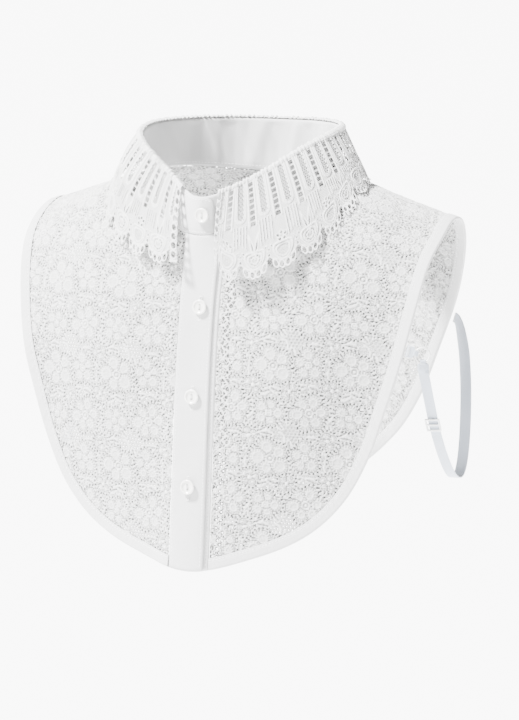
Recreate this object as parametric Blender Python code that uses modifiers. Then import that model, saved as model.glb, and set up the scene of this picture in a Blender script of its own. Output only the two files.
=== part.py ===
"""Lace dickey collar: a turned-down lace collar on a cotton stand, with a sleeveless lace bib
in front and behind, a buttoned placket, a tape binding and an elastic strap at each side.

It is held as if worn: hollow, with the neck, the armholes and the hem open. Metres, +Z up,
the wearer faces -Y and the wearer's left is +X. The origin is the middle of the neck.
"""

import math
from collections import namedtuple

import bmesh
import bpy
from mathutils import Matrix, Vector
from mathutils.bvhtree import BVHTree

# Walls, gaps and widths
MM = 0.001
LACE = 1.2 * MM
COTTON = 1.5 * MM
TAPE = 2.4 * MM
FALL = 1.3 * MM
ELASTIC = 0.9 * MM
SEAM_GAP = 0.3 * MM
LAP = COTTON + 0.4 * MM
BINDING_WIDTH = 8.0 * MM
PLACKET_WIDTH = 25.0 * MM
PLACKET_REVEAL = 3.5 * MM
PLACKET_UNDER_START = 9.0 * MM
PLACKET_ROWS = 15
PLACKET_COLUMNS = 3
PLACKET_TAIL = 1.0
PLACKET_LEAN_TOP = 2.4 * MM
PLACKET_LEAN_HEM = -2.3 * MM
LAP_RAMP = 16.0 * MM
STEP = 0.01
FRONT_COLUMNS = 24
FRONT_ROWS = 10
BACK_COLUMNS = 44
BACK_ROWS = 7
SWELL = 5.66
SWELL_FADE = 1.6

# Stations round the bib: 0 is the centre front, SHOULDER the shoulder seam, BACK the centre back.
# Angles in degrees from the front, everything else in millimetres. The belly is how far the cloth
# stands out from a straight line between its neck seam and its outer edge.
Station = namedtuple("Station", "neck_angle neck_radius neck_z edge_x edge_y edge_z belly")
BIB = [
    Station(0, 69.0, -2.5, 0, -88, -227, 4),
    Station(12, 66.5, -1.0, 45, -81, -216, 10),
    Station(24, 64.0, 3.5, 79, -73, -200, 16),
    Station(35, 63.0, 9.0, 103, -67, -177, 19),
    Station(45, 63.0, 14.5, 119, -63, -148, 20),
    Station(54, 63.5, 20.0, 131, -61, -114, 19),
    Station(62, 64.5, 24.5, 140, -58, -84, 17),
    Station(70, 65.5, 28.0, 147, -49, -48, 13),
    Station(77, 66.5, 31.0, 151, -37, -20, 9),
    Station(84, 67.0, 32.5, 153, -18, -3, 4),
    Station(91, 67.5, 33.0, 152, 4, 7, 1),
    Station(101, 67.5, 33.0, 151, 22, 5, 1),
    Station(112, 67.0, 33.0, 149, 33, -8, 4),
    Station(123, 66.0, 32.5, 143, 44, -28, 9),
    Station(134, 65.0, 31.5, 134, 53, -53, 13),
    Station(145, 64.0, 30.5, 119, 60, -87, 14),
    Station(155, 63.0, 29.5, 102, 66, -123, 13),
    Station(164, 62.5, 29.0, 80, 71, -153, 11),
    Station(172, 62.0, 28.5, 45, 76, -180, 9),
    Station(180, 62.0, 28.0, 0, 78, -190, 8),
]
SHOULDER = 10
BACK = len(BIB) - 1

# The line where the collar turns over, by the angle from the front
Roll = namedtuple("Roll", "angle radius height")
ROLL = [
    Roll(-13, 64.0, 29),
    Roll(0, 70.0, 25),
    Roll(13, 64.0, 29),
    Roll(26, 59.5, 35),
    Roll(45, 61.0, 45),
    Roll(60, 65.0, 53.5),
    Roll(77, 69.5, 61.5),
    Roll(95, 69.7, 65.5),
    Roll(120, 69.5, 66.5),
    Roll(150, 70.0, 66.5),
    Roll(180, 70.0, 66),
    Roll(210, 70.0, 66.5),
]
ROLL_LEAN = 4.0 * MM
ROLL_LEAN_FROM = 35.0
ROLL_LEAN_OVER = 25.0
STAND_BELOW_ROLL = 2.4 * MM
STAND_INSIDE_ROLL = 1.6 * MM
STAND_CORNER = 9.0 * MM
STAND_OVER_END = 8.0
STAND_UNDER_END = -10.0
STAND_STEPS = 63
STAND_ROWS = 3
STAND_RAMP = (14.0, 38.0)
NECK_RADIUS = 66.0 * MM

# The collar fall's lower edge, by the angle of the roll line above it, in millimetres. It runs
# from the wearer's left front round the back to the right front, and hangs a little unevenly.
Hang = namedtuple("Hang", "angle edge_x edge_y edge_z belly")
FALL_EDGE = [
    Hang(9.5, 15.5, -82, -15, 2),
    Hang(17, 26, -86, -27, 3),
    Hang(26, 43, -84, -27, 3),
    Hang(36, 58, -79, -21, 3),
    Hang(47, 72, -71, -14, 3),
    Hang(58, 83, -60, -5, 2),
    Hang(70, 91, -44, 8.5, 1),
    Hang(82, 95, -23, 23.5, 0),
    Hang(95, 92, -2, 29, 0),
    Hang(110, 83, 20, 30, 0),
    Hang(128, 69, 42, 28.5, 0),
    Hang(146, 50, 61, 19, 0),
    Hang(163, 26, 72, 12, 0),
    Hang(180, 0, 76, 9, 0),
    Hang(197, -26, 72, 12, 0),
    Hang(214, -50, 61, 19, 0),
    Hang(232, -69, 42, 28.5, 0),
    Hang(250, -83, 18, 30, 1),
    Hang(265, -91, -6, 29, 1),
    Hang(278, -86, -29, 24.5, 2),
    Hang(290, -81, -45, 12.5, 3),
    Hang(302, -75, -57, 1, 3),
    Hang(313, -61, -66, -9, 3),
    Hang(324, -40, -76, -16, 3),
    Hang(335, -25, -81, -19, 3),
    Hang(346, -10, -84, -20, 2),
]
ROLL_STEPS = [(0.0, 0.95), (1.5, 1.75), (3.0, 0.2)]
REST = 2.1 * MM
REST_REACH = 15.0 * MM
STEEPEST = 0.98

# Lace of the fall: scallops with four rings each, and a ladder of rings down each front edge
SCALLOP = 21.0 * MM
SCALLOP_DEPTH = 5.0 * MM
RINGS = 4
RING_HOLE = 3.3 * MM
RING_HOLE_DEPTH = 4.3 * MM
RING_BAR = 0.9 * MM
RING_TOP = RING_BAR + RING_HOLE_DEPTH + 0.9 * MM
LADDER_HOLES = 8
LADDER_HOLE = 4.7 * MM
LADDER_BAR = 0.9 * MM
LADDER_START = 1.2 * MM
LADDER_END = 1.6 * MM
LADDER_HOLE_SHARE = 0.72
BODY_ROWS = 3
BODY_STEP = 6
SAME_DEPTH = 0.2 * MM
EDGE_STEPS = 400
BODY_STOPS = (3, 8)

# Buttons
BUTTON_HOLE = 0.75 * MM
BUTTON_HOLE_SPACING = 1.35 * MM
CUTTER_DEPTH = 8.0 * MM
Turned = namedtuple("Turned", "radius height")
BUTTON_PROFILE = [
    Turned(0.0, 1.3),
    Turned(3.3, 1.35),
    Turned(3.9, 2.0),
    Turned(4.7, 2.0),
    Turned(5.1, 1.4),
    Turned(4.6, 0.4),
    Turned(3.0, 0.0),
    Turned(0.0, 0.0),
]
BUTTON_STEPS = 16
BUTTON_SINK = 0.3 * MM
Sewn = namedtuple("Sewn", "name height across")
BUTTONS = [
    Sewn("button_1", 11.0, 2.5),
    Sewn("button_2", -50.0, 3.0),
    Sewn("button_3", -109.5, 0.8),
    Sewn("button_4", -170.0, 0.4),
]

# Straps: the path from the back binding under the arm to the ring, in millimetres. The turn and
# the rise are the angles of the strap's width from +X and from level, in degrees. Both tables are
# written as for the wearer's left, and the right strap is then mirrored. It hangs further in,
# behind the front, with its tab turned under.
Pass = namedtuple("Pass", "x y z turn rise")
LEFT_PATH = [
    Pass(131.6, 55.2, -65.0, -25, 66),
    Pass(134.8, 53.5, -67.0, -20, 50),
    Pass(139.8, 47.5, -74.5, -5, 22),
    Pass(146.3, 38.0, -89.5, 12, 4),
    Pass(152.8, 25.0, -112, 18, 0),
    Pass(157.5, 12, -138, 14, 0),
    Pass(160, 1, -156, 10, 0),
    Pass(161, -9, -163, 6, 0),
    Pass(160.5, -19, -160, 4, 0),
    Pass(159, -29, -147, 2, 0),
    Pass(157, -37.5, -129, 0, 0),
    Pass(155.2, -43.5, -110, 0, 0),
    Pass(153.6, -47.6, -94, 0, 0),
    Pass(152.8, -49.4, -87, 0, 0),
]
RIGHT_PATH = [
    Pass(131.6, 55.2, -65.0, -25, 66),
    Pass(134.8, 53.5, -67.0, -20, 50),
    Pass(138.8, 47.8, -74.5, -5, 22),
    Pass(141.8, 39.0, -90, 8, 4),
    Pass(142.5, 28.0, -114, 8, 0),
    Pass(141.0, 16.5, -138, 0, 0),
    Pass(138.5, 4, -156, -10, 0),
    Pass(136.0, -8, -163, -20, 0),
    Pass(134.0, -19, -158, -32, 0),
    Pass(133.0, -28, -143, -44, 0),
    Pass(133.0, -35, -124.5, -54, 0),
    Pass(133.6, -41, -106, -60, 0),
    Pass(134.6, -44.8, -93.5, -64, 0),
    Pass(135.4, -46.3, -85.8, -66, 0),
]
Side = namedtuple("Side", "name path ring tab_start")
SIDES = [
    Side("left", LEFT_PATH, (152.0, -50.4, -78.5), 1.2),
    Side("right", RIGHT_PATH, (137.0, -44.4, -77.2), 2.3),
]
STRAP_WIDTH = 7.5 * MM
STRAP_STEPS = 34
TAB_WIDTH = 8.0 * MM
FOLD_WIDTH = 3.6 * MM
FOLD_LAYER = 0.75 * MM
FOLD_TAIL = 6.5 * MM
FOLD_STRAIGHT = 2.6 * MM
FOLD_BEND = 0.9 * MM
FOLD_TIP = 0.2 * MM
RING_RADIUS = 4.9 * MM
RING_WIRE = 0.65 * MM
RING_REACH = math.sqrt(RING_RADIUS ** 2 - (FOLD_WIDTH / 2) ** 2) - RING_WIRE - SEAM_GAP - ELASTIC / 2
RING_STEPS = 18
WIRE_STEPS = 6
FRONT_TIE = 6.3
SLIDER_PLACE = 0.79
SLIDER = (10.6, 9.0)
SLIDER_BAR = 1.2
SLIDER_THICK = 1.3 * MM
SLIDER_GAP = 0.35 * MM

# Colours and finishes
WHITE_LACE = (0.86, 0.86, 0.85, 1.0)
WHITE_COTTON = (0.90, 0.90, 0.90, 1.0)
WHITE_PLASTIC = (0.93, 0.93, 0.92, 1.0)
WHITE_ELASTIC = (0.78, 0.81, 0.85, 1.0)

# Halvings of a range when a place is looked for
HALVINGS = 40

COLLECTION = "lace_dickey_collar"
CUTTERS = "cutters"


def clear_scene():
    """Removes what the file opened with."""
    for thing in list(bpy.data.objects):
        bpy.data.objects.remove(thing, do_unlink=True)
    for name in (COLLECTION, CUTTERS):
        group = bpy.data.collections.new(name)
        bpy.context.scene.collection.children.link(group)


def material(name, colour, roughness):
    """A plain finish for the solids."""
    made = bpy.data.materials.new(name)
    made.use_nodes = True
    shader = made.node_tree.nodes["Principled BSDF"]
    shader.inputs["Base Color"].default_value = colour
    shader.inputs["Roughness"].default_value = roughness
    shader.inputs["Metallic"].default_value = 0.0
    return made


def add_object(name, mesh, finish, group=COLLECTION):
    """Puts a mesh in the scene as one named piece."""
    thing = bpy.data.objects.new(name, mesh)
    bpy.data.collections[group].objects.link(thing)
    if finish:
        mesh.materials.append(finish)
    return thing


def thicken(thing, thickness):
    """Gives an open surface its wall, half to each side."""
    wall = thing.modifiers.new("wall", "SOLIDIFY")
    wall.thickness = thickness
    wall.offset = 0.0
    wall.use_even_offset = False
    return thing


def between(values, f):
    """A smooth curve through four evenly spaced values, read between the middle two."""
    a, b, c, d = values
    return b + 0.5 * f * (c - a + f * (2 * a - 5 * b + 4 * c - d + f * (3 * (b - c) + d - a)))


def read(table, column, place):
    """One column of a table, read at a fractional row along a smooth curve."""
    last = len(table) - 1
    row = min(max(int(math.floor(place)), 0), last - 1)
    picked = [getattr(table[min(max(i, 0), last)], column) for i in range(row - 1, row + 3)]
    return between(picked, place - row)


def row_at(table, column, value):
    """The fractional row where a rising column reaches a value."""
    low, high = 0.0, len(table) - 1.0
    for _ in range(HALVINGS):
        middle = (low + high) / 2
        if read(table, column, middle) < value:
            low = middle
        else:
            high = middle
    return (low + high) / 2


def mirrored(station, about):
    """A station's twin on the other side of the centre front or the centre back."""
    return station._replace(neck_angle=about - station.neck_angle, edge_x=-station.edge_x)


BIB_ROUND = [mirrored(BIB[1], 0)] + BIB + [mirrored(BIB[-2], 360)]


def smooth(x):
    """Eases from 0 to 1."""
    x = min(max(x, 0.0), 1.0)
    return x * x * (3 - 2 * x)


def radial(angle):
    """The level direction that points out from the neck at an angle from the front."""
    turn = math.radians(angle)
    return Vector((math.sin(turn), -math.cos(turn), 0.0))


def neck_and_edge(t):
    """The two ends of the bib's section at a station: on the neck seam and on the outer edge."""
    place = t + 1
    neck = radial(read(BIB_ROUND, "neck_angle", place)) * read(BIB_ROUND, "neck_radius", place)
    neck.z = read(BIB_ROUND, "neck_z", place)
    edge = Vector([read(BIB_ROUND, column, place) for column in ("edge_x", "edge_y", "edge_z")])
    return neck * MM, edge * MM


def bib_point(t, s):
    """The middle of the bib's cloth at station t, share s of the way from neck to outer edge."""
    t = (t + BACK) % (2 * BACK) - BACK
    side = -1.0 if t < 0 else 1.0
    t = abs(t)
    neck, edge = neck_and_edge(t)
    before = sum(neck_and_edge(max(t - STEP, 0.0)), Vector())
    after = sum(neck_and_edge(min(t + STEP, BACK)), Vector())
    outward = (edge - neck).cross(after - before).normalized()
    swell = read(BIB_ROUND, "belly", t + 1) * MM * SWELL * s * (1 - min(s, 1.0)) ** SWELL_FADE
    point = neck + (edge - neck) * s + outward * swell
    point.x *= side
    return point


def slopes(t, s):
    """How the bib's surface runs along the stations and away from the neck."""
    along = (bib_point(t + STEP, s) - bib_point(t - STEP, s)) / (2 * STEP)
    s = min(max(s, STEP), 1 - STEP)
    down = (bib_point(t, s + STEP) - bib_point(t, s - STEP)) / (2 * STEP)
    return along, down


def on_bib(t, s, out=0.0):
    """A point on the bib's cloth, moved out from it."""
    along, down = slopes(t, s)
    return bib_point(t, s) + down.cross(along).normalized() * out


def station_at_x(x, s):
    """The front station whose section crosses a given distance from the centre."""
    low, high = 0.0, 4.0
    for _ in range(HALVINGS):
        middle = (low + high) / 2
        if bib_point(middle, s).x < abs(x):
            low = middle
        else:
            high = middle
    return math.copysign((low + high) / 2, x)


def placket_centre(s):
    """The placket hangs almost straight, leaning a little to the wearer's right."""
    return PLACKET_LEAN_TOP + (PLACKET_LEAN_HEM - PLACKET_LEAN_TOP) * s


def placket_edges(s):
    """Where the upper placket begins and ends across the front."""
    middle = placket_centre(s)
    return middle - PLACKET_WIDTH / 2, middle + PLACKET_WIDTH / 2


def lap_out(point, s):
    """The right front rises onto the upper placket's layer as it nears the placket."""
    right_edge = placket_edges(s)[0]
    return LAP * smooth(1 - (right_edge - point.x) / LAP_RAMP)


def neck_margin(t):
    """How far below the neck seam a panel starts, so that it clears the stand's wall."""
    down = slopes(t, 0.0)[1]
    level = math.sqrt(max(0.0, 1 - (down.normalized().z) ** 2))
    return (SEAM_GAP + 0.5 * COTTON * level + 0.1 * MM) / down.length


def edge_margin(t, width):
    """The share of a section that a band of this width takes up at the outer edge."""
    along, down = slopes(t, 1.0)
    across = down.cross(along).length / along.length
    return width / across


def grid_mesh(name, points):
    """A surface through rows of points."""
    made = bmesh.new()
    rows = [[made.verts.new(point) for point in row] for row in points]
    for upper, lower in zip(rows, rows[1:]):
        for i in range(len(upper) - 1):
            made.faces.new((upper[i], upper[i + 1], lower[i + 1], lower[i]))
    bmesh.ops.recalc_face_normals(made, faces=made.faces)
    mesh = bpy.data.meshes.new(name)
    made.to_mesh(mesh)
    made.free()
    mesh.shade_smooth()
    return mesh


def left_start(s):
    """The station where the left front begins, beside the lower placket."""
    return station_at_x(placket_edges(s)[1] + PLACKET_REVEAL + SEAM_GAP, s)


def right_start(s):
    """The station below zero where the right front begins, beside the upper placket."""
    return station_at_x(placket_edges(s)[0] - SEAM_GAP, s)


def before_shoulder(s):
    """Half a seam gap in front of the shoulder seam."""
    return SHOULDER - SEAM_GAP / 2 / slopes(SHOULDER, s)[0].length


def right_shoulder(s):
    """Half a seam gap in front of the right shoulder seam."""
    return -before_shoulder(s)


def behind_shoulder(s):
    """Half a seam gap behind the left shoulder seam."""
    return 2 * SHOULDER - before_shoulder(s)


def behind_right_shoulder(s):
    """Half a seam gap behind the right shoulder seam, counted on round the back."""
    return 2 * BACK - behind_shoulder(s)


def station_between(first, last, s, share):
    """A station part of the way from one seam to another, at share s down the section."""
    return first(s) + (last(s) - first(s)) * share


def panel_rows(first, last, columns, rows, lapped=False):
    """Rows of points over a panel between two seams, inside the neck seam and the binding."""
    points = []
    for i in range(rows + 1):
        row = []
        for j in range(columns + 1):
            near = station_between(first, last, i / rows, j / columns)
            top = neck_margin(near)
            bottom = 1 - edge_margin(near, BINDING_WIDTH + SEAM_GAP)
            s = top + (bottom - top) * i / rows
            t = station_between(first, last, s, j / columns)
            out = lap_out(bib_point(t, s), s) if lapped else 0.0
            row.append(on_bib(t, s, out))
        points.append(row)
    return points


def add_panels(lace):
    """The two front bibs and the back bib."""
    left = panel_rows(left_start, before_shoulder, FRONT_COLUMNS, FRONT_ROWS)
    right = panel_rows(right_start, right_shoulder, FRONT_COLUMNS, FRONT_ROWS, lapped=True)
    back = panel_rows(behind_shoulder, behind_right_shoulder, BACK_COLUMNS, BACK_ROWS)
    for name, points in (("front_left", left), ("front_right", right), ("back", back)):
        thicken(add_object(name, grid_mesh(name, points), lace), LACE)


def add_plackets(cotton):
    """The two cotton strips down the front, the wearer's right one lapping over."""
    half = PLACKET_WIDTH / 2
    shared = [half - (half + PLACKET_UNDER_START) * i / PLACKET_COLUMNS for i in range(PLACKET_COLUMNS + 1)]
    strips = {
        "placket_over": ([-half] + shared[::-1], LAP),
        "placket_under": (shared[::-1] + [half + PLACKET_REVEAL], 0.0),
    }
    for name, (offsets, out) in strips.items():
        points = []
        for i in range(PLACKET_ROWS + 1):
            top = neck_margin(0.0)
            s = top + (PLACKET_TAIL - top) * i / PLACKET_ROWS
            across = [placket_centre(s) + offset for offset in offsets]
            points.append([on_bib(station_at_x(x, s), s, out) for x in across])
        thicken(add_object(name, grid_mesh(name, points), cotton), COTTON)


def binding_stations(s):
    """Stations along the binding, in step with the columns of the panels inside it."""
    stops = [left_start(s), SHOULDER, 2 * BACK - SHOULDER, 2 * BACK + right_start(s)]
    stations = [stops[0]]
    for start, end, count in zip(stops, stops[1:], (FRONT_COLUMNS, BACK_COLUMNS, FRONT_COLUMNS)):
        stations += [start + (end - start) * (j + 1) / count for j in range(count)]
    return stations


def add_binding(cotton):
    """One tape round the whole outer edge, from one front, over the back, to the other front."""
    margins = [edge_margin(t, BINDING_WIDTH) for t in binding_stations(1.0)]
    points = [[], [], []]
    for j, margin in enumerate(margins):
        for i, row in enumerate(points):
            s = 1 - margin * (1 - i / 2)
            t = binding_stations(s)[j]
            out = lap_out(bib_point(t, s), s) if t > BACK else 0.0
            row.append(on_bib(t, s, out))
    thicken(add_object("binding", grid_mesh("binding", points), cotton), TAPE)


def neck_seam(angle):
    """The neck seam at an angle from the front."""
    angle = (angle + 180) % 360 - 180
    place = row_at(BIB_ROUND, "neck_angle", abs(angle))
    point = radial(angle) * read(BIB_ROUND, "neck_radius", place)
    point.z = read(BIB_ROUND, "neck_z", place)
    return point * MM


def roll_line(angle):
    """The line where the collar turns over, which leans to the wearer's right as it rises."""
    angle = (angle + 180) % 360 - 180
    place = row_at(ROLL, "angle", abs(angle))
    point = radial(angle) * read(ROLL, "radius", place)
    point.z = read(ROLL, "height", place)
    lean = ROLL_LEAN * smooth((point.z - ROLL_LEAN_FROM) / ROLL_LEAN_OVER)
    return point * MM - Vector((lean, 0.0, 0.0))


def stand_top(angle):
    """The top of the stand, just inside and below the roll line."""
    point = roll_line(angle) - radial(angle) * STAND_INSIDE_ROLL
    point.z -= STAND_BELOW_ROLL
    return point


def stand_out(angle):
    """How far the stand's over end lies outside its under end, near the front."""
    near, far = STAND_RAMP
    return LAP * (1 - smooth((-angle - near) / (far - near)))


def add_stand(cotton):
    """The cotton band, once round the neck, its right end lapping over its left end."""
    whole = STAND_OVER_END - (STAND_UNDER_END - 360)
    points = [[] for _ in range(STAND_ROWS + 1)]
    for j in range(STAND_STEPS + 1):
        swing = whole * j / STAND_STEPS
        angle = STAND_OVER_END - swing
        foot, top = neck_seam(angle), stand_top(angle)
        foot.z += SEAM_GAP
        from_end = math.radians(min(swing, whole - swing)) * NECK_RADIUS
        bite = max(0.0, 1 - from_end / STAND_CORNER)
        top = top.lerp(foot, STAND_CORNER * (1 - math.sqrt(1 - bite * bite)) / (top.z - foot.z))
        out = radial(angle) * stand_out(angle)
        for i, row in enumerate(points):
            row.append(foot + (top - foot) * i / STAND_ROWS + out)
    thicken(add_object("collar_stand", grid_mesh("collar_stand", points), cotton), COTTON)


def bib_tree():
    """The bib's surface, to find what lies nearest to a point."""
    columns, rows = 6 * BACK, 16
    points = []
    for j in range(rows + 1):
        for i in range(columns + 1):
            points.append(bib_point((i / columns - 0.5) * 2 * BACK, j / rows))
    faces = []
    for j in range(rows):
        for i in range(columns):
            corner = j * (columns + 1) + i
            faces.append((corner, corner + columns + 1, corner + columns + 2, corner + 1))
    return BVHTree.FromPolygons(points, faces)


def rested(tree, point, heading):
    """The point, or where it comes to lie if the fall, heading down, bends to rest on the bib."""
    spot, normal, _, distance = tree.find_nearest(point)
    sunk = REST - (point - spot).dot(normal)
    steep = min(-heading.dot(normal), STEEPEST)
    if distance > REST_REACH or sunk <= 0:
        return point
    point = point + normal * sunk
    if steep <= 0:
        return point
    slide = sunk * (1 - math.sqrt(1 - steep * steep)) / steep
    return point + (heading + normal * steep).normalized() * slide


class FallColumn:
    """One section across the collar fall, from the stand over the roll to the lower edge."""

    def __init__(self, place):
        angle = read(FALL_EDGE, "angle", place)
        shift = stand_out(angle - 360) if angle > 180 else 0.0
        out = radial(angle)
        start = stand_top(angle) + out * shift
        self.roll = [start + (out * across + Vector((0, 0, rise))) * MM for across, rise in ROLL_STEPS]
        self.edge = Vector([read(FALL_EDGE, c, place) for c in ("edge_x", "edge_y", "edge_z")]) * MM
        self.run = self.edge - self.roll[-1]
        self.length = self.run.length
        self.belly = read(FALL_EDGE, "belly", place) * MM
        sideways = Vector((-out.y, out.x, 0))
        self.outward = self.run.cross(sideways).normalized()
        if self.outward.dot(out) < 0:
            self.outward.negate()

    def at(self, depth):
        """A point down the section. Depths above the roll's outer side count -1 and -2."""
        if depth < 0:
            return self.roll[int(depth) + 2]
        share = depth / self.length
        swell = self.belly * 4 * share * max(0.0, 1 - share)
        return self.roll[-1] + self.run * share + self.outward * swell


class FallNet:
    """The fall's surface, as cells between sections, which share every point on their sides."""

    def __init__(self, places):
        self.columns = [FallColumn(place) for place in places]
        self.depths = [[] for _ in places]
        self.cells = []
        self.tree = bib_tree()

    def known(self, section, depth):
        """The depth itself, or the one already used on the section within a hair of it."""
        for used in self.depths[section]:
            if abs(used - depth) < SAME_DEPTH:
                return section, used
        self.depths[section].append(depth)
        return section, depth

    def cell(self, top, bottom):
        """Adds a cell. Both lists hold (section, depth) from left to right."""
        self.cells.append(([self.known(*place) for place in top], [self.known(*place) for place in bottom]))

    def side(self, section, start, end):
        """The points of other cells on one side of a cell, from start to end."""
        low, high = sorted((start, end))
        inner = sorted(d for d in self.depths[section] if low < d < high)
        return [(section, d) for d in (inner if start < end else reversed(inner))]

    def mesh(self, name):
        """All the cells as one surface."""
        made = bmesh.new()
        corners = {}

        def corner(section, depth):
            if (section, depth) not in corners:
                column = self.columns[section]
                point = rested(self.tree, column.at(depth), column.run.normalized())
                corners[section, depth] = made.verts.new(point)
            return corners[section, depth]

        for top, bottom in self.cells:
            ring = list(top)
            ring += self.side(top[-1][0], top[-1][1], bottom[-1][1])
            ring += list(reversed(bottom))
            ring += self.side(top[0][0], bottom[0][1], top[0][1])
            made.faces.new([corner(*place) for place in ring])
        bmesh.ops.recalc_face_normals(made, faces=made.faces)
        mesh = bpy.data.meshes.new(name)
        made.to_mesh(mesh)
        made.free()
        mesh.shade_smooth()
        return mesh


def edge_places():
    """Evenly measured places along the fall's lower edge: the length at each table row share."""
    last = len(FALL_EDGE) - 1
    points = []
    for i in range(EDGE_STEPS + 1):
        place = last * i / EDGE_STEPS
        points.append(Vector([read(FALL_EDGE, c, place) for c in ("edge_x", "edge_y", "edge_z")]) * MM)
    lengths = [0.0]
    for a, b in zip(points, points[1:]):
        lengths.append(lengths[-1] + (b - a).length)
    return lengths, last / EDGE_STEPS


def place_at_length(lengths, spacing, wanted):
    """The table place that lies a given length along the fall's lower edge."""
    for i in range(len(lengths) - 1):
        if lengths[i + 1] >= wanted:
            share = (wanted - lengths[i]) / (lengths[i + 1] - lengths[i])
            return (i + share) * spacing
    return (len(lengths) - 1) * spacing


def scallop_lines():
    """Lines across one scallop, as shares of its width, and which cells between them are rings."""
    width = RINGS * RING_HOLE + (RINGS + 1) * RING_BAR
    start = (SCALLOP - width) / 2
    lines = [0.0, start]
    rings = []
    for _ in range(RINGS):
        rings.append(len(lines))
        lines += [lines[-1] + RING_BAR, lines[-1] + RING_BAR + RING_HOLE]
    lines += [lines[-1] + RING_BAR, SCALLOP]
    return [line / SCALLOP for line in lines], rings


def ladder_lines(length):
    """Depths of the ladder's bars down a front edge, as shares of the section."""
    start, end = LADDER_START / length, 1 - LADDER_END / length
    pitch = (end - start) / LADDER_HOLES
    lines = [0.0, start]
    for i in range(LADDER_HOLES):
        lines += [start + pitch * (i + LADDER_HOLE_SHARE), start + pitch * (i + 1)]
    return lines


def add_fall(lace):
    """The lace strip that turns over the stand, cut through at its rings."""
    lengths, spacing = edge_places()
    ladder = [0.0, LADDER_BAR, LADDER_BAR + LADDER_HOLE, 2 * LADDER_BAR + LADDER_HOLE]
    free = lengths[-1] - 2 * ladder[-1]
    count = round(free / SCALLOP)
    wide = free / count
    shares, rings = scallop_lines()
    wanted = list(ladder)
    phases = [0.0] * len(ladder)
    for k in range(count):
        wanted += [ladder[-1] + (k + share) * wide for share in shares[1:]]
        phases += [share % 1.0 for share in shares[1:]]
    wanted += [lengths[-1] - x for x in reversed(ladder[:-1])]
    phases += [0.0] * (len(ladder) - 1)
    net = FallNet([place_at_length(lengths, spacing, x) for x in wanted])
    first = len(ladder) - 1
    last = len(wanted) - len(ladder)

    def shares_down(section):
        column = net.columns[section]
        return [share * column.length for share in ladder_lines(column.length)]

    body = [i * BODY_STEP + 1 for i in range(BODY_ROWS)]

    def edge_line(section, above):
        column = net.columns[section]
        bulge = SCALLOP_DEPTH * (math.sin(math.pi * phases[section]) - 0.5)
        return column.length + bulge - above

    # Ladders: three cells wide, with the middle one left open between bars
    for left, right in ((0, first), (last, len(wanted) - 1)):
        net.cell([(left, -2), (right, -2)], [(left, -1), (right, -1)])
        net.cell([(left, -1), (right, -1)], [(section, 0) for section in range(left, right + 1)])
        sections = range(left, right)
        for section in sections:
            here, there = shares_down(section), shares_down(section + 1)
            for i in range(len(here) - 1):
                hole = section == left + 1 and i % 2 == 1
                if not hole:
                    net.cell([(section, here[i]), (section + 1, there[i])],
                             [(section, here[i + 1]), (section + 1, there[i + 1])])
            net.cell([(section, here[-1]), (section + 1, there[-1])],
                     [(section, net.columns[section].length), (section + 1, net.columns[section + 1].length)])

    # Body: three wide cells a scallop, and the ring band below them
    for k in range(count):
        base = first + k * (len(shares) - 1)
        stops = [base] + [base + step for step in BODY_STOPS] + [base + len(shares) - 1]
        for left, right in zip(stops, stops[1:]):
            net.cell([(left, -2), (right, -2)], [(left, -1), (right, -1)])
            net.cell([(left, -1), (right, -1)], [(left, 0), (right, 0)])
            here, there = shares_down(left), shares_down(right)
            rows_left = [0.0] + [here[i] for i in body]
            rows_right = [0.0] + [there[i] for i in body]
            for i in range(len(rows_left) - 1):
                net.cell([(left, rows_left[i]), (right, rows_right[i])],
                         [(left, rows_left[i + 1]), (right, rows_right[i + 1])])
            net.cell([(left, rows_left[-1]), (right, rows_right[-1])],
                     [(c, edge_line(c, RING_TOP)) for c in range(left, right + 1)])
        levels = [RING_TOP, RING_BAR + RING_HOLE_DEPTH, RING_BAR, 0.0]
        for c in range(base, base + len(shares) - 1):
            for i in range(3):
                hole = i == 1 and c - base in rings
                if not hole:
                    net.cell([(c, edge_line(c, levels[i])), (c + 1, edge_line(c + 1, levels[i]))],
                             [(c, edge_line(c, levels[i + 1])), (c + 1, edge_line(c + 1, levels[i + 1]))])
    thicken(add_object("collar_fall", net.mesh("collar_fall"), lace), FALL)


def placed(origin, axis, upward):
    """A frame whose Z is the axis given and whose Y leans upward."""
    z = axis.normalized()
    x = upward.cross(z).normalized()
    y = z.cross(x)
    return Matrix((
        (x.x, y.x, z.x, origin.x),
        (x.y, y.y, z.y, origin.y),
        (x.z, y.z, z.z, origin.z),
        (0, 0, 0, 1),
    ))


def share_at_height(height):
    """How far down the centre front a height lies."""
    low, high = 0.0, 1.0
    for _ in range(HALVINGS):
        middle = (low + high) / 2
        if bib_point(0.0, middle).z > height:
            low = middle
        else:
            high = middle
    return (low + high) / 2


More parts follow.
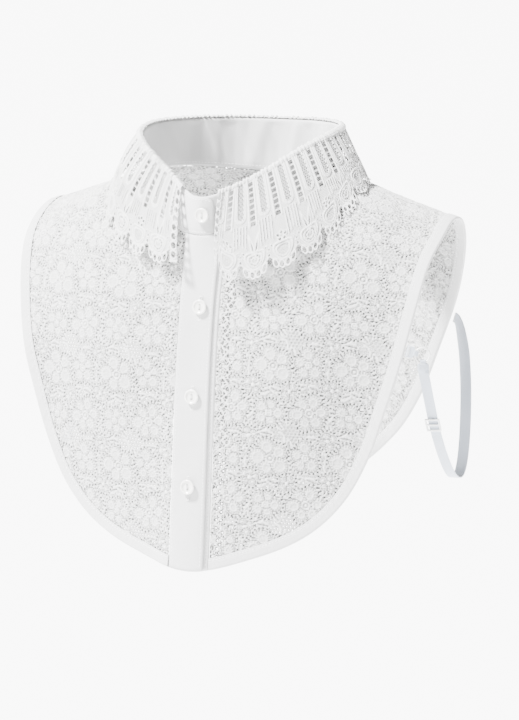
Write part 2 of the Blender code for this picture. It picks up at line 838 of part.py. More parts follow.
def add_buttons(plastic):
    """Four turned buttons with two holes, one on the stand and three on the placket."""
    for sewn in BUTTONS:
        mesh = bpy.data.meshes.new(sewn.name)
        profile = bmesh.new()
        verts = [profile.verts.new((p.radius * MM, 0, p.height * MM)) for p in BUTTON_PROFILE]
        for a, b in zip(verts, verts[1:]):
            profile.edges.new((a, b))
        profile.to_mesh(mesh)
        profile.free()
        button = add_object(sewn.name, mesh, plastic)
        turned = button.modifiers.new("turned", "SCREW")
        turned.steps = BUTTON_STEPS
        turned.render_steps = BUTTON_STEPS
        turned.use_merge_vertices = True
        turned.merge_threshold = 0.01 * MM
        height = sewn.height * MM
        lift = LAP + COTTON / 2 + BUTTON_SINK
        if height > 0:
            foot, top = neck_seam(0), stand_top(0)
            rise = (top - foot).normalized()
            seat = foot + (top - foot) * ((height - foot.z) / (top.z - foot.z))
            outward = Vector((1, 0, 0)).cross(rise)
            if outward.y > 0:
                outward.negate()
            seat.x += sewn.across * MM
            seat += outward * (lift + BUTTON_SINK)
        else:
            s = share_at_height(height)
            t = station_at_x(placket_centre(s) + sewn.across * MM, s)
            along, down = slopes(t, s)
            outward = down.cross(along).normalized()
            seat = on_bib(t, s, lift)
        button.matrix_world = placed(seat, outward, Vector((0, 0, 1)))
        for sign in (-1, 1):
            cutter_mesh = bpy.data.meshes.new(f"{sewn.name}_hole")
            hole = bmesh.new()
            bmesh.ops.create_cone(hole, cap_ends=True, segments=8, radius1=BUTTON_HOLE,
                                  radius2=BUTTON_HOLE, depth=CUTTER_DEPTH)
            hole.to_mesh(cutter_mesh)
            hole.free()
            cutter = add_object(f"{sewn.name}_hole_{sign}", cutter_mesh, None, CUTTERS)
            cutter.hide_render = True
            cutter.display_type = "WIRE"
            cutter.matrix_world = button.matrix_world @ Matrix.Translation((0, sign * BUTTON_HOLE_SPACING, 0))
            cut = button.modifiers.new("hole", "BOOLEAN")
            cut.operation = "DIFFERENCE"
            cut.object = cutter


def strap_place(path, share):
    """A point on a strap's path and the direction of its width, square to the path."""
    place = share * (len(path) - 1)
    before, point, after = [
        Vector([read(path, column, place + step) for column in ("x", "y", "z")]) * MM
        for step in (-STEP, 0.0, STEP)
    ]
    ahead = (after - before).normalized()
    turn = math.radians(read(path, "turn", place))
    rise = math.radians(read(path, "rise", place))
    across = Vector((math.cos(turn) * math.cos(rise), math.sin(turn) * math.cos(rise), math.sin(rise)))
    return point, (across - ahead * across.dot(ahead)).normalized()


def fold_points(middle, tail, direction, outward):
    """A strip's middle line that runs to the ring, round its wire and back. Each of its places has
    a distance back from the fold, a distance out and how far it is from gathered to full width."""
    half = RING_WIRE + SEAM_GAP + ELASTIC / 2
    tip = middle - direction * RING_REACH
    side = [
        (tail, FOLD_LAYER, 1.0),
        (tail * 0.45, (FOLD_LAYER + half) / 2, 0.85),
        (FOLD_STRAIGHT, half, 0.0),
        (FOLD_BEND, half, 0.0),
        (FOLD_TIP, half * 0.72, 0.0),
    ]
    shape = side + [(0.0, 0.0, 0.0)] + [(back, -lift, wide) for back, lift, wide in reversed(side)]
    return [(tip - direction * back + outward * lift, wide) for back, lift, wide in shape]


def strip_mesh(name, middles, widths, acrosses):
    """A flat strip along a line of middle points."""
    rows = []
    for middle, width, across in zip(middles, widths, acrosses):
        rows.append([middle - across * width / 2, middle + across * width / 2])
    return grid_mesh(name, rows)


def mirror_x(mesh):
    """The same mesh for the wearer's other side."""
    other = mesh.copy()
    made = bmesh.new()
    made.from_mesh(other)
    for vert in made.verts:
        vert.co.x = -vert.co.x
    bmesh.ops.reverse_faces(made, faces=made.faces)
    made.to_mesh(other)
    made.free()
    return other


def add_side(name, side, mesh, finish, wall=None):
    """A piece of the wearer's left strap, or the right one's, which is mirrored."""
    if side.name == "right":
        mesh = mirror_x(mesh)
    thing = add_object(f"{name}_{side.name}", mesh, finish)
    if wall:
        thicken(thing, wall)


def ring_mesh(name, seat):
    """A wire ring lying in a frame's XY plane."""
    bpy.ops.mesh.primitive_torus_add(
        major_segments=RING_STEPS, minor_segments=WIRE_STEPS, major_radius=RING_RADIUS, minor_radius=RING_WIRE)
    thing = bpy.context.object
    mesh = thing.data
    bpy.data.objects.remove(thing, do_unlink=True)
    mesh.name = name
    mesh.transform(seat)
    mesh.shade_smooth()
    return mesh


def tab_frame(side):
    """The front edge's tie, the ring's centre, and the ways along the edge, to the ring and out."""
    centre = Vector(side.ring) * MM
    tie = bib_point(FRONT_TIE, 1.0)
    edge_way = slopes(FRONT_TIE, 1.0)[0].normalized()
    toward = centre - tie
    toward -= edge_way * toward.dot(edge_way)
    toward.normalize()
    middle = tie + toward * (centre - tie).length
    return tie, middle, edge_way, toward, edge_way.cross(toward).normalized()


def tab_mesh(side):
    """The tab runs from the binding's edge to the ring and back."""
    tie, middle, edge_way, toward, face = tab_frame(side)
    tail = (middle - tie).length - RING_REACH - side.tab_start * MM
    folded = fold_points(middle, tail, toward, face)
    widths = [FOLD_WIDTH + (TAB_WIDTH - FOLD_WIDTH) * wide for _, wide in folded]
    return strip_mesh("strap_tab", [p for p, _ in folded], widths, [edge_way] * len(folded))


def strap_mesh(side):
    """The strap comes from the back binding, under the arm, and folds over the ring."""
    middle, face = tab_frame(side)[1], tab_frame(side)[4]
    path = [strap_place(side.path, i / STRAP_STEPS) for i in range(STRAP_STEPS + 1)]
    middles = [p for p, _ in path]
    across = [a for _, a in path]
    hang = (middle - middles[-1]).normalized()
    hang -= face * hang.dot(face)
    hang.normalize()
    hang_across = hang.cross(face).normalized()
    if hang_across.dot(across[-1]) < 0:
        hang_across.negate()
    over = fold_points(middle, FOLD_TAIL, hang, face)
    middles = middles[:-1] + [p for p, _ in over]
    across = across[:-1] + [hang_across] * len(over)
    widths = [STRAP_WIDTH] * STRAP_STEPS + [FOLD_WIDTH + (STRAP_WIDTH - FOLD_WIDTH) * w for _, w in over]
    return strip_mesh("strap", middles, widths, across)


def slider_mesh(side):
    """The slider is a flat frame with a middle bar, on the strap's outer face."""
    centre, way = strap_place(side.path, SLIDER_PLACE)
    before, after = (strap_place(side.path, SLIDER_PLACE + step)[0] for step in (-STEP, STEP))
    ahead = (after - before).normalized()
    out = way.cross(ahead).normalized()
    if out.y > 0:
        out.negate()
    seat = centre + out * (ELASTIC / 2 + SLIDER_GAP + SLIDER_THICK / 2)
    wide, tall = SLIDER
    xs = [-wide / 2, -wide / 2 + SLIDER_BAR, wide / 2 - SLIDER_BAR, wide / 2]
    window = (tall - 3 * SLIDER_BAR) / 2
    ys = [-tall / 2]
    for step in (SLIDER_BAR, window, SLIDER_BAR, window, SLIDER_BAR):
        ys.append(ys[-1] + step)
    shape = bmesh.new()
    verts = [[shape.verts.new(seat + (way * x + ahead * y) * MM) for x in xs] for y in ys]
    for i in range(len(ys) - 1):
        for j in range(len(xs) - 1):
            if j == 1 and i in (1, 3):
                continue
            shape.faces.new((verts[i][j], verts[i][j + 1], verts[i + 1][j + 1], verts[i + 1][j]))
    mesh = bpy.data.meshes.new("strap_slider")
    shape.to_mesh(mesh)
    shape.free()
    return mesh


def add_straps(elastic, coated):
    """On each side a tab, a ring, an adjustable strap and its slider."""
    for side in SIDES:
        middle, edge_way, face = (tab_frame(side)[i] for i in (1, 2, 4))
        add_side("strap_tab", side, tab_mesh(side), elastic, ELASTIC)
        add_side("strap_ring", side, ring_mesh("strap_ring", placed(middle, face, edge_way)), coated)
        add_side("strap", side, strap_mesh(side), elastic, ELASTIC)
        add_side("strap_slider", side, slider_mesh(side), coated, SLIDER_THICK)


def build():
    """Makes every piece of the dickey."""
    clear_scene()
    lace = material("floral lace", WHITE_LACE, 0.85)
    heavy_lace = material("scalloped collar lace", WHITE_LACE, 0.8)
    cotton = material("cotton poplin", WHITE_COTTON, 0.8)
    plastic = material("pearly plastic", WHITE_PLASTIC, 0.25)
    elastic = material("elastic tape", WHITE_ELASTIC, 0.5)
    coated = material("coated wire", WHITE_PLASTIC, 0.3)
    add_panels(lace)
    add_plackets(cotton)
    add_binding(cotton)
    add_stand(cotton)
    add_fall(heavy_lace)
    add_buttons(plastic)
    add_straps(elastic, coated)


build()
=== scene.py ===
"""Looks of a white lace dickey: a scalloped lace collar on a cotton stand, floral lace bibs in front
and behind, a buttoned cotton placket, a tape edge and elastic straps.

The numbers in the tables are millimetres and degrees, the meshes are in metres. +Z is up, the
wearer faces -Y and the wearer's left is +X.
"""

import math
from collections import namedtuple

import bmesh
import bpy
import numpy as np
from mathutils import Matrix, Vector
from mathutils.bvhtree import BVHTree
from mathutils.kdtree import KDTree


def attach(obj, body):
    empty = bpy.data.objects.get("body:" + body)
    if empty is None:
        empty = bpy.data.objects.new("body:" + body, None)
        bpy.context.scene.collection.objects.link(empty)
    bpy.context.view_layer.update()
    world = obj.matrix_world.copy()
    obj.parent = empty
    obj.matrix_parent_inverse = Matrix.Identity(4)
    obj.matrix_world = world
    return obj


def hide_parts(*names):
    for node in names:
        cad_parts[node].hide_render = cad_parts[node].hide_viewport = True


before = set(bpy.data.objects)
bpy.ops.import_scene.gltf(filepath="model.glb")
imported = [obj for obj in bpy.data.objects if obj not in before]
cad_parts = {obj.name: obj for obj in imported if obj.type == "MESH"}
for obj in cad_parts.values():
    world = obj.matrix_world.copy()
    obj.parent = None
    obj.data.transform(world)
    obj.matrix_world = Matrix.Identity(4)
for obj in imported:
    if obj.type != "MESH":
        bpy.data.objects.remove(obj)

bl_info = {
    "name": "Lace dickey collar",
    "version": (1, 0, 0),
    "blender": (4, 5, 0),
    "location": "3D View > Sidebar > Dickey",
    "description": "Builds the lace, cotton, buttons and straps of a dickey collar",
    "category": "Add Mesh",
}

MM = 0.001

# The bib: 0 is the centre front, SHOULDER the shoulder seam, BACK the centre back. The belly is how
# far the cloth stands out from a straight line between the neck seam and the outer edge.
Station = namedtuple("Station", "neck_angle neck_radius neck_z edge_x edge_y edge_z belly")
BIB = [
    Station(0, 69.0, -2.5, 0, -88, -227, 4),
    Station(12, 66.5, -1.0, 45, -81, -216, 10),
    Station(24, 64.0, 3.5, 79, -73, -200, 16),
    Station(35, 63.0, 9.0, 103, -67, -177, 19),
    Station(45, 63.0, 14.5, 119, -63, -148, 20),
    Station(54, 63.5, 20.0, 131, -61, -114, 19),
    Station(62, 64.5, 24.5, 140, -58, -84, 17),
    Station(70, 65.5, 28.0, 147, -49, -48, 13),
    Station(77, 66.5, 31.0, 151, -37, -20, 9),
    Station(84, 67.0, 32.5, 153, -18, -3, 4),
    Station(91, 67.5, 33.0, 152, 4, 7, 1),
    Station(101, 67.5, 33.0, 151, 22, 5, 1),
    Station(112, 67.0, 33.0, 149, 33, -8, 4),
    Station(123, 66.0, 32.5, 143, 44, -28, 9),
    Station(134, 65.0, 31.5, 134, 53, -53, 13),
    Station(145, 64.0, 30.5, 119, 60, -87, 14),
    Station(155, 63.0, 29.5, 102, 66, -123, 13),
    Station(164, 62.5, 29.0, 80, 71, -153, 11),
    Station(172, 62.0, 28.5, 45, 76, -180, 9),
    Station(180, 62.0, 28.0, 0, 78, -190, 8),
]
SHOULDER = 10
BACK = 19
STEP = 0.01
SWELL = 5.66
SWELL_FADE = 1.6

# Where the collar turns over, by the angle from the front
Roll = namedtuple("Roll", "angle radius height")
ROLL = [
    Roll(-13, 64.0, 29),
    Roll(0, 70.0, 25),
    Roll(13, 64.0, 29),
    Roll(26, 59.5, 35),
    Roll(45, 61.0, 45),
    Roll(60, 65.0, 53.5),
    Roll(77, 69.5, 61.5),
    Roll(95, 69.7, 65.5),
    Roll(120, 69.5, 66.5),
    Roll(150, 70.0, 66.5),
    Roll(180, 70.0, 66),
    Roll(210, 70.0, 66.5),
]
ROLL_LEAN = 4.0
ROLL_LEAN_FROM = 35.0
ROLL_LEAN_OVER = 25.0
STAND_BELOW_ROLL = 2.4
STAND_INSIDE_ROLL = 1.6
STAND_CORNER = 9.0
STAND_TOP_ROUND = 0.5
STAND_OVER_END = 8.0
STAND_UNDER_END = -10.0
STAND_RAMP = (14.0, 38.0)
NECK_RADIUS = 66.0

# The lower edge of the collar fall, by the angle of the roll line above it
Hang = namedtuple("Hang", "angle edge_x edge_y edge_z belly")
FALL_EDGE = [
    Hang(9.5, 15.5, -82, -15, 2),
    Hang(17, 26, -86, -27, 3),
    Hang(26, 43, -84, -27, 3),
    Hang(36, 58, -79, -21, 3),
    Hang(47, 72, -71, -14, 3),
    Hang(58, 83, -60, -5, 2),
    Hang(70, 91, -44, 8.5, 1),
    Hang(82, 95, -23, 23.5, 0),
    Hang(95, 92, -2, 29, 0),
    Hang(110, 83, 20, 30, 0),
    Hang(128, 69, 42, 28.5, 0),
    Hang(146, 50, 61, 19, 0),
    Hang(163, 26, 72, 12, 0),
    Hang(180, 0, 76, 9, 0),
    Hang(197, -26, 72, 12, 0),
    Hang(214, -50, 61, 19, 0),
    Hang(232, -69, 42, 28.5, 0),
    Hang(250, -83, 18, 30, 1),
    Hang(265, -91, -6, 29, 1),
    Hang(278, -86, -29, 24.5, 2),
    Hang(290, -81, -45, 12.5, 3),
    Hang(302, -75, -57, 1, 3),
    Hang(313, -61, -66, -9, 3),
    Hang(324, -40, -76, -16, 3),
    Hang(335, -25, -81, -19, 3),
    Hang(346, -10, -84, -20, 2),
]
ROLL_STEPS = [(0.0, 0.95), (1.5, 1.75), (3.0, 0.2)]
REST = 2.1
REST_REACH = 15.0
STEEPEST = 0.98
SCALLOP = 21.0
SCALLOP_DEPTH = 5.0
RINGS = 4
RING_PITCH = 4.2
RING_RISE = 3.05
LADDER_WIDTH = 6.5
LADDER_HOLES = 8

# Walls, widths and laps
COTTON = 1.5
TAPE = 2.4
LAP = 1.9
SEAM_GAP = 0.3
BINDING_WIDTH = 8.0
PLACKET_WIDTH = 25.0
PLACKET_REVEAL = 3.5
PLACKET_UNDER_START = 9.0
PLACKET_LEAN_TOP = 2.4
PLACKET_LEAN_HEM = -2.3
LAP_RAMP = 16.0

# Buttons: how high and how far across from the placket's middle
Sewn = namedtuple("Sewn", "node height across")
BUTTONS = [
    Sewn("button_1", 11.0, 2.5),
    Sewn("button_2", -50.0, 3.0),
    Sewn("button_3", -109.5, 0.8),
    Sewn("button_4", -170.0, 0.4),
]
Turned = namedtuple("Turned", "radius height")
BUTTON_PROFILE = [
    Turned(0.0, 1.3),
    Turned(2.6, 1.32),
    Turned(3.3, 1.4),
    Turned(3.7, 1.72),
    Turned(4.0, 1.98),
    Turned(4.4, 2.06),
    Turned(4.8, 1.9),
    Turned(5.05, 1.6),
    Turned(5.1, 1.3),
    Turned(4.9, 0.8),
    Turned(4.4, 0.35),
    Turned(3.0, 0.05),
    Turned(0.0, 0.0),
]
BUTTON_HOLE = 0.75
BUTTON_HOLE_SPACING = 1.35
BUTTON_SINK = 0.3

# Straps: the path from the back binding under the arm to the ring. The right one is mirrored.
Pass = namedtuple("Pass", "x y z turn rise")
LEFT_PATH = [
    Pass(131.6, 55.2, -65.0, -25, 66),
    Pass(134.8, 53.5, -67.0, -20, 50),
    Pass(139.8, 47.5, -74.5, -5, 22),
    Pass(146.3, 38.0, -89.5, 12, 4),
    Pass(152.8, 25.0, -112, 18, 0),
    Pass(157.5, 12, -138, 14, 0),
    Pass(160, 1, -156, 10, 0),
    Pass(161, -9, -163, 6, 0),
    Pass(160.5, -19, -160, 4, 0),
    Pass(159, -29, -147, 2, 0),
    Pass(157, -37.5, -129, 0, 0),
    Pass(155.2, -43.5, -110, 0, 0),
    Pass(153.6, -47.6, -94, 0, 0),
    Pass(152.8, -49.4, -87, 0, 0),
]
RIGHT_PATH = [
    Pass(131.6, 55.2, -65.0, -25, 66),
    Pass(134.8, 53.5, -67.0, -20, 50),
    Pass(138.8, 47.8, -74.5, -5, 22),
    Pass(141.8, 39.0, -90, 8, 4),
    Pass(142.5, 28.0, -114, 8, 0),
    Pass(141.0, 16.5, -138, 0, 0),
    Pass(138.5, 4, -156, -10, 0),
    Pass(136.0, -8, -163, -20, 0),
    Pass(134.0, -19, -158, -32, 0),
    Pass(133.0, -28, -143, -44, 0),
    Pass(133.0, -35, -124.5, -54, 0),
    Pass(133.6, -41, -106, -60, 0),
    Pass(134.6, -44.8, -93.5, -64, 0),
    Pass(135.4, -46.3, -85.8, -66, 0),
]
Side = namedtuple("Side", "name path ring tab_start")
SIDES = [
    Side("left", LEFT_PATH, (152.0, -50.4, -78.5), 1.2),
    Side("right", RIGHT_PATH, (137.0, -44.4, -77.2), 2.3),
]
STRAP_WIDTH = 7.5
TAB_WIDTH = 8.0
FOLD_WIDTH = 3.6
FOLD_LAYER = 0.75
FOLD_TAIL = 6.5
ELASTIC = 0.9
RING_RADIUS = 4.9
RING_WIRE = 0.65
FRONT_TIE = 6.3
SLIDER_PLACE = 0.79
SLIDER = (10.6, 9.0)
SLIDER_BAR = 1.2
SLIDER_THICK = 1.3
SLIDER_GAP = 0.35

# Soft folds pressed into the cotton of the stand, by the angle from the front. The place is the
# share of the height where the fold's middle lies, the slant how far it leans over the height.
Crease = namedtuple("Crease", "angle place slant width depth reach")
STAND_CREASES = [
    Crease(118, 0.62, 6, 5.0, -0.7, 0.8),
    Crease(131, 0.55, 9, 6.5, 0.8, 0.9),
    Crease(147, 0.66, -5, 4.0, -0.6, 0.6),
    Crease(158, 0.50, 7, 7.0, 0.9, 1.0),
    Crease(171, 0.58, -8, 5.0, -0.7, 0.8),
    Crease(184, 0.62, 4, 6.0, 0.7, 0.7),
    Crease(196, 0.48, -9, 5.5, -0.8, 0.9),
    Crease(209, 0.60, 10, 6.0, 0.8, 0.9),
    Crease(222, 0.52, 5, 4.5, -0.6, 0.7),
    Crease(236, 0.60, -7, 6.0, 0.7, 0.9),
    Crease(100, 0.55, -5, 5.0, 0.6, 0.8),
    Crease(84, 0.50, 6, 5.5, -0.6, 0.7),
    Crease(255, 0.52, 6, 5.5, -0.7, 0.8),
    Crease(274, 0.55, -5, 6.0, 0.6, 0.7),
]
# Shallow puckers across the plackets: height, slope across, width, depth
Pucker = namedtuple("Pucker", "height slope width depth")
PLACKET_PUCKERS = [
    Pucker(-22, 0.20, 9, 0.35),
    Pucker(-41, -0.28, 6, -0.30),
    Pucker(-58, 0.25, 7, 0.40),
    Pucker(-83, -0.12, 12, -0.35),
    Pucker(-101, 0.30, 6, 0.30),
    Pucker(-118, -0.30, 7, 0.40),
    Pucker(-141, 0.15, 12, -0.35),
    Pucker(-162, 0.30, 6, 0.35),
    Pucker(-178, -0.25, 7, -0.35),
    Pucker(-203, 0.12, 11, 0.35),
]

# One repeat of the bib's floral lace
REPEAT = (54.0, 62.0)
Flower = namedtuple("Flower", "x y size petals turn")
FLOWERS = [
    Flower(13.0, 15.0, 13.0, 6, 10),
    Flower(41.5, 45.0, 13.6, 5, 36),
    Flower(39.5, 13.5, 10.2, 5, 0),
    Flower(11.5, 47.0, 10.6, 5, 25),
    Flower(27.8, 31.0, 6.6, 5, 12),
    Flower(53.4, 28.6, 6.2, 4, 50),
    Flower(26.0, 59.2, 6.0, 4, 20),
]
Leaf = namedtuple("Leaf", "x y length width turn")
LEAVES = [
    Leaf(26.5, 15.0, 13.0, 6.0, 78),
    Leaf(51.2, 19.0, 11.0, 5.4, 112),
    Leaf(0.8, 10.5, 11.0, 5.2, 60),
    Leaf(36.0, 27.5, 10.5, 5.2, 20),
    Leaf(16.5, 31.0, 11.0, 5.2, -22),
    Leaf(6.5, 31.8, 10.0, 4.8, 200),
    Leaf(43.8, 28.8, 10.0, 4.8, -24),
    Leaf(26.2, 41.5, 11.0, 5.2, 95),
    Leaf(26.6, 51.0, 9.5, 4.6, 80),
    Leaf(0.5, 41.5, 10.0, 5.0, 75),
    Leaf(0.8, 53.5, 11.0, 5.2, 105),
    Leaf(14.0, 59.2, 12.0, 5.0, 8),
    Leaf(38.5, 61.6, 11.5, 5.0, -10),
    Leaf(36.0, 2.6, 9.0, 4.4, 30),
    Leaf(47.5, 4.8, 8.0, 4.2, 140),
    Leaf(26.8, 4.2, 9.0, 4.4, 90),
]
Scroll = namedtuple("Scroll", "x y radius start sweep")
SCROLLS = [
    Scroll(20.0, 24.0, 6.0, -60, 150),
    Scroll(46.5, 24.0, 5.5, 160, 150),
    Scroll(33.0, 36.0, 5.5, 100, 170),
    Scroll(4.5, 23.8, 4.6, 60, 160),
    Scroll(20.0, 53.0, 5.2, 190, 160),
    Scroll(33.0, 55.0, 5.0, -40, 150),
    Scroll(46.5, 58.8, 5.4, -80, 160),
]
NET_PITCH = 2.5
NET_BAR = 0.8
NET_CLOSED = 0.35
BAR_PITCH = 2.3
RIB_PITCH = 1.9
OPEN_NET_PLACE = 4.6
OPEN_NET_HALF = 2.7
OPEN_NET_PITCH = 3.2
PETAL_RIM = 2.5
PIT_FLOOR = -0.4

# Camera, set by matching landmarks of both sides of the collar
CAMERA_AZIMUTH = 25.0
CAMERA_ELEVATION = 8.0
CAMERA_DISTANCE = 3.0
CAMERA_RIGHT = 0.00986
CAMERA_DOWN = 0.0944
CAMERA_LENS = 220.5
FLOOR_HEIGHT = -0.9


def unit(vectors):
    """The same directions with length 1."""
    return vectors / np.maximum(np.linalg.norm(vectors, axis=-1, keepdims=True), 1e-12)


def ease(x):
    """Eases from 0 to 1."""
    x = np.clip(x, 0.0, 1.0)
    return x * x * (3 - 2 * x)


def radial(angle):
    """The level direction that points out from the neck at an angle from the front."""
    turn = np.radians(angle)
    return np.stack([np.sin(turn), -np.cos(turn), np.zeros_like(turn)], -1)


def curve(rows, place):
    """Reads a table at fractional rows along a smooth curve."""
    last = len(rows) - 1
    place = np.asarray(place, float)
    row = np.clip(np.floor(place).astype(int), 0, last - 1)
    f = (place - row)[..., None]
    a, b, c, d = (rows[np.clip(row + k, 0, last)] for k in (-1, 0, 1, 2))
    return b + 0.5 * f * (c - a + f * (2 * a - 5 * b + 4 * c - d + f * (3 * (b - c) + d - a)))


def places_of(rows, column, values):
    """The fractional rows where a rising column reaches the values."""
    fine = np.arange(0, len(rows) - 1 + STEP / 2, STEP)
    return np.interp(values, curve(rows, fine)[:, column], fine)


def mirrored(station, about):
    """A station's twin on the other side of the centre front or the centre back."""
    return station._replace(neck_angle=about - station.neck_angle, edge_x=-station.edge_x)


BIB_ROWS = np.array([mirrored(BIB[1], 0)] + BIB + [mirrored(BIB[-2], 360)], float)
ROLL_ROWS = np.array(ROLL, float)
EDGE_ROWS = np.array(FALL_EDGE, float)


def neck_and_edge(t):
    """Both ends of the bib's section at a station, and its belly."""
    row = curve(BIB_ROWS, t + 1)
    neck = radial(row[..., 0]) * row[..., 1:2]
    neck[..., 2] = row[..., 2]
    return neck, row[..., 3:6], row[..., 6]


def bib_point(t, s):
    """The middle of the bib's cloth at station t, share s of the way from neck to outer edge."""
    t, s = np.broadcast_arrays(np.asarray(t, float), np.asarray(s, float))
    t = (t + BACK) % (2 * BACK) - BACK
    side = np.where(t < 0, -1.0, 1.0)
    t = np.abs(t)
    neck, edge, belly = neck_and_edge(t)
    before, after = (sum(neck_and_edge(np.clip(t + d, 0, BACK))[:2]) for d in (-STEP, STEP))
    outward = unit(np.cross(edge - neck, after - before))
    swell = belly * SWELL * s * np.maximum(1 - s, 0) ** SWELL_FADE
    point = neck + (edge - neck) * s[..., None] + outward * swell[..., None]
    point[..., 0] *= side
    return point


def bib_slopes(t, s):
    """How the bib's surface runs along the stations and away from the neck."""
    along = (bib_point(t + STEP, s) - bib_point(t - STEP, s)) / (2 * STEP)
    s = np.clip(s, STEP, 1 - STEP)
    down = (bib_point(t, s + STEP) - bib_point(t, s - STEP)) / (2 * STEP)
    return along, down


def bib_normal(t, s):
    """The direction that points out of the bib."""
    along, down = bib_slopes(t, s)
    return unit(np.cross(down, along))


def station_at_x(x, s):
    """The front station whose section crosses a given distance from the centre."""
    x, s = np.broadcast_arrays(np.asarray(x, float), np.asarray(s, float))
    low, high = np.zeros_like(x), np.full_like(x, 4.0)
    for _ in range(26):
        middle = (low + high) / 2
        less = bib_point(middle, s)[..., 0] < np.abs(x)
        low, high = np.where(less, middle, low), np.where(less, high, middle)
    return np.copysign((low + high) / 2, x)


def placket_centre(s):
    """The placket's middle, which leans a little to the wearer's right."""
    return PLACKET_LEAN_TOP + (PLACKET_LEAN_HEM - PLACKET_LEAN_TOP) * s


def lap_out(x, s):
    """How far the right front rises onto the upper placket's layer."""
    right_edge = placket_centre(s) - PLACKET_WIDTH / 2
    return LAP * ease(1 - (right_edge - x) / LAP_RAMP)


SHARES = np.linspace(0, 1, 41)
LEFT_STARTS = station_at_x(placket_centre(SHARES) + PLACKET_WIDTH / 2 + PLACKET_REVEAL + SEAM_GAP, SHARES)
RIGHT_STARTS = station_at_x(placket_centre(SHARES) - PLACKET_WIDTH / 2 - SEAM_GAP, SHARES)


def left_start(s):
    """The station where the left front begins."""
    return np.interp(s, SHARES, LEFT_STARTS)


def right_start(s):
    """The station below zero where the right front begins."""
    return np.interp(s, SHARES, RIGHT_STARTS)


def neck_margin(t):
    """How far below the neck seam a panel starts, as a share of its section."""
    down = bib_slopes(t, np.zeros_like(t))[1]
    length = np.linalg.norm(down, axis=-1)
    level = np.sqrt(np.maximum(0, 1 - (down[..., 2] / length) ** 2))
    return (SEAM_GAP + 0.5 * COTTON * level + 0.1) / length


def edge_margin(t, width):
    """The share of a section that a band of this width takes up at the outer edge."""
    along, down = bib_slopes(t, np.ones_like(t))
    across = np.linalg.norm(np.cross(down, along), axis=-1) / np.linalg.norm(along, axis=-1)
    return width / across


def neck_seam(angle):
    """The neck seam at angles from the front."""
    angle = (np.asarray(angle, float) + 180) % 360 - 180
    row = curve(BIB_ROWS, places_of(BIB_ROWS, 0, np.abs(angle)))
    point = radial(angle) * row[..., 1:2]
    point[..., 2] = row[..., 2]
    return point


def roll_line(angle):
    """The line where the collar turns over, which leans to the wearer's right as it rises."""
    angle = (np.asarray(angle, float) + 180) % 360 - 180
    row = curve(ROLL_ROWS, places_of(ROLL_ROWS, 0, np.abs(angle)))
    point = radial(angle) * row[..., 1:2]
    point[..., 2] = row[..., 2]
    point[..., 0] -= ROLL_LEAN * ease((row[..., 2] - ROLL_LEAN_FROM) / ROLL_LEAN_OVER)
    return point


def stand_top(angle):
    """The top of the stand, just inside and below the roll line."""
    point = roll_line(angle) - radial(angle) * STAND_INSIDE_ROLL
    point[..., 2] -= STAND_BELOW_ROLL
    return point


def stand_out(angle):
    """How far the stand's over end lies outside its under end, near the front."""
    near, far = STAND_RAMP
    return LAP * (1 - ease((-np.asarray(angle, float) - near) / (far - near)))


def grid_quads(rows, columns):
    """The quads of a grid of points, as corner numbers."""
    first = (np.arange(rows - 1)[:, None] * columns + np.arange(columns - 1)[None, :]).ravel()
    return np.stack([first, first + 1, first + columns + 1, first + columns], 1)


def make_object(name, points, polygons, finish, attributes=None):
    """A mesh object from points in millimetres and arrays of polygons, smooth shaded."""
    mesh = bpy.data.meshes.new(name)
    polygons = [p for p in polygons if len(p)]
    corners = np.concatenate([p.ravel() for p in polygons])
    sizes = np.concatenate([np.full(len(p), p.shape[1]) for p in polygons])
    mesh.vertices.add(len(points))
    mesh.vertices.foreach_set("co", (np.asarray(points) * MM).astype(np.float32).ravel())
    mesh.loops.add(len(corners))
    mesh.loops.foreach_set("vertex_index", corners.astype(np.int32))
    mesh.polygons.add(len(sizes))
    starts = np.concatenate([[0], np.cumsum(sizes)[:-1]])
    mesh.polygons.foreach_set("loop_start", starts.astype(np.int32))
    mesh.update(calc_edges=True)
    for key, values in (attributes or {}).items():
        layer = mesh.attributes.new(key, "FLOAT_VECTOR", "POINT")
        layer.data.foreach_set("vector", np.asarray(values, np.float32).ravel())
    mesh.shade_smooth()
    if finish:
        mesh.materials.append(finish)
    thing = bpy.data.objects.new(name, mesh)
    bpy.context.scene.collection.objects.link(thing)
    return thing


def wall(outer, inner):
    """Points and quads of a closed wall between two grids of points."""
    rows, columns = outer.shape[:2]
    points = np.concatenate([outer.reshape(-1, 3), inner.reshape(-1, 3)])
    number = np.arange(rows * columns).reshape(rows, columns)
    rim = np.concatenate([number[0, :], number[1:, -1], number[-1, -2::-1], number[-2:0:-1, 0]])
    ahead = np.roll(rim, -1)
    shift = rows * columns
    face = grid_quads(rows, columns)
    sides = np.stack([ahead, rim, rim + shift, ahead + shift], 1)
    return points, [np.concatenate([face, face[:, ::-1] + shift, sides])]


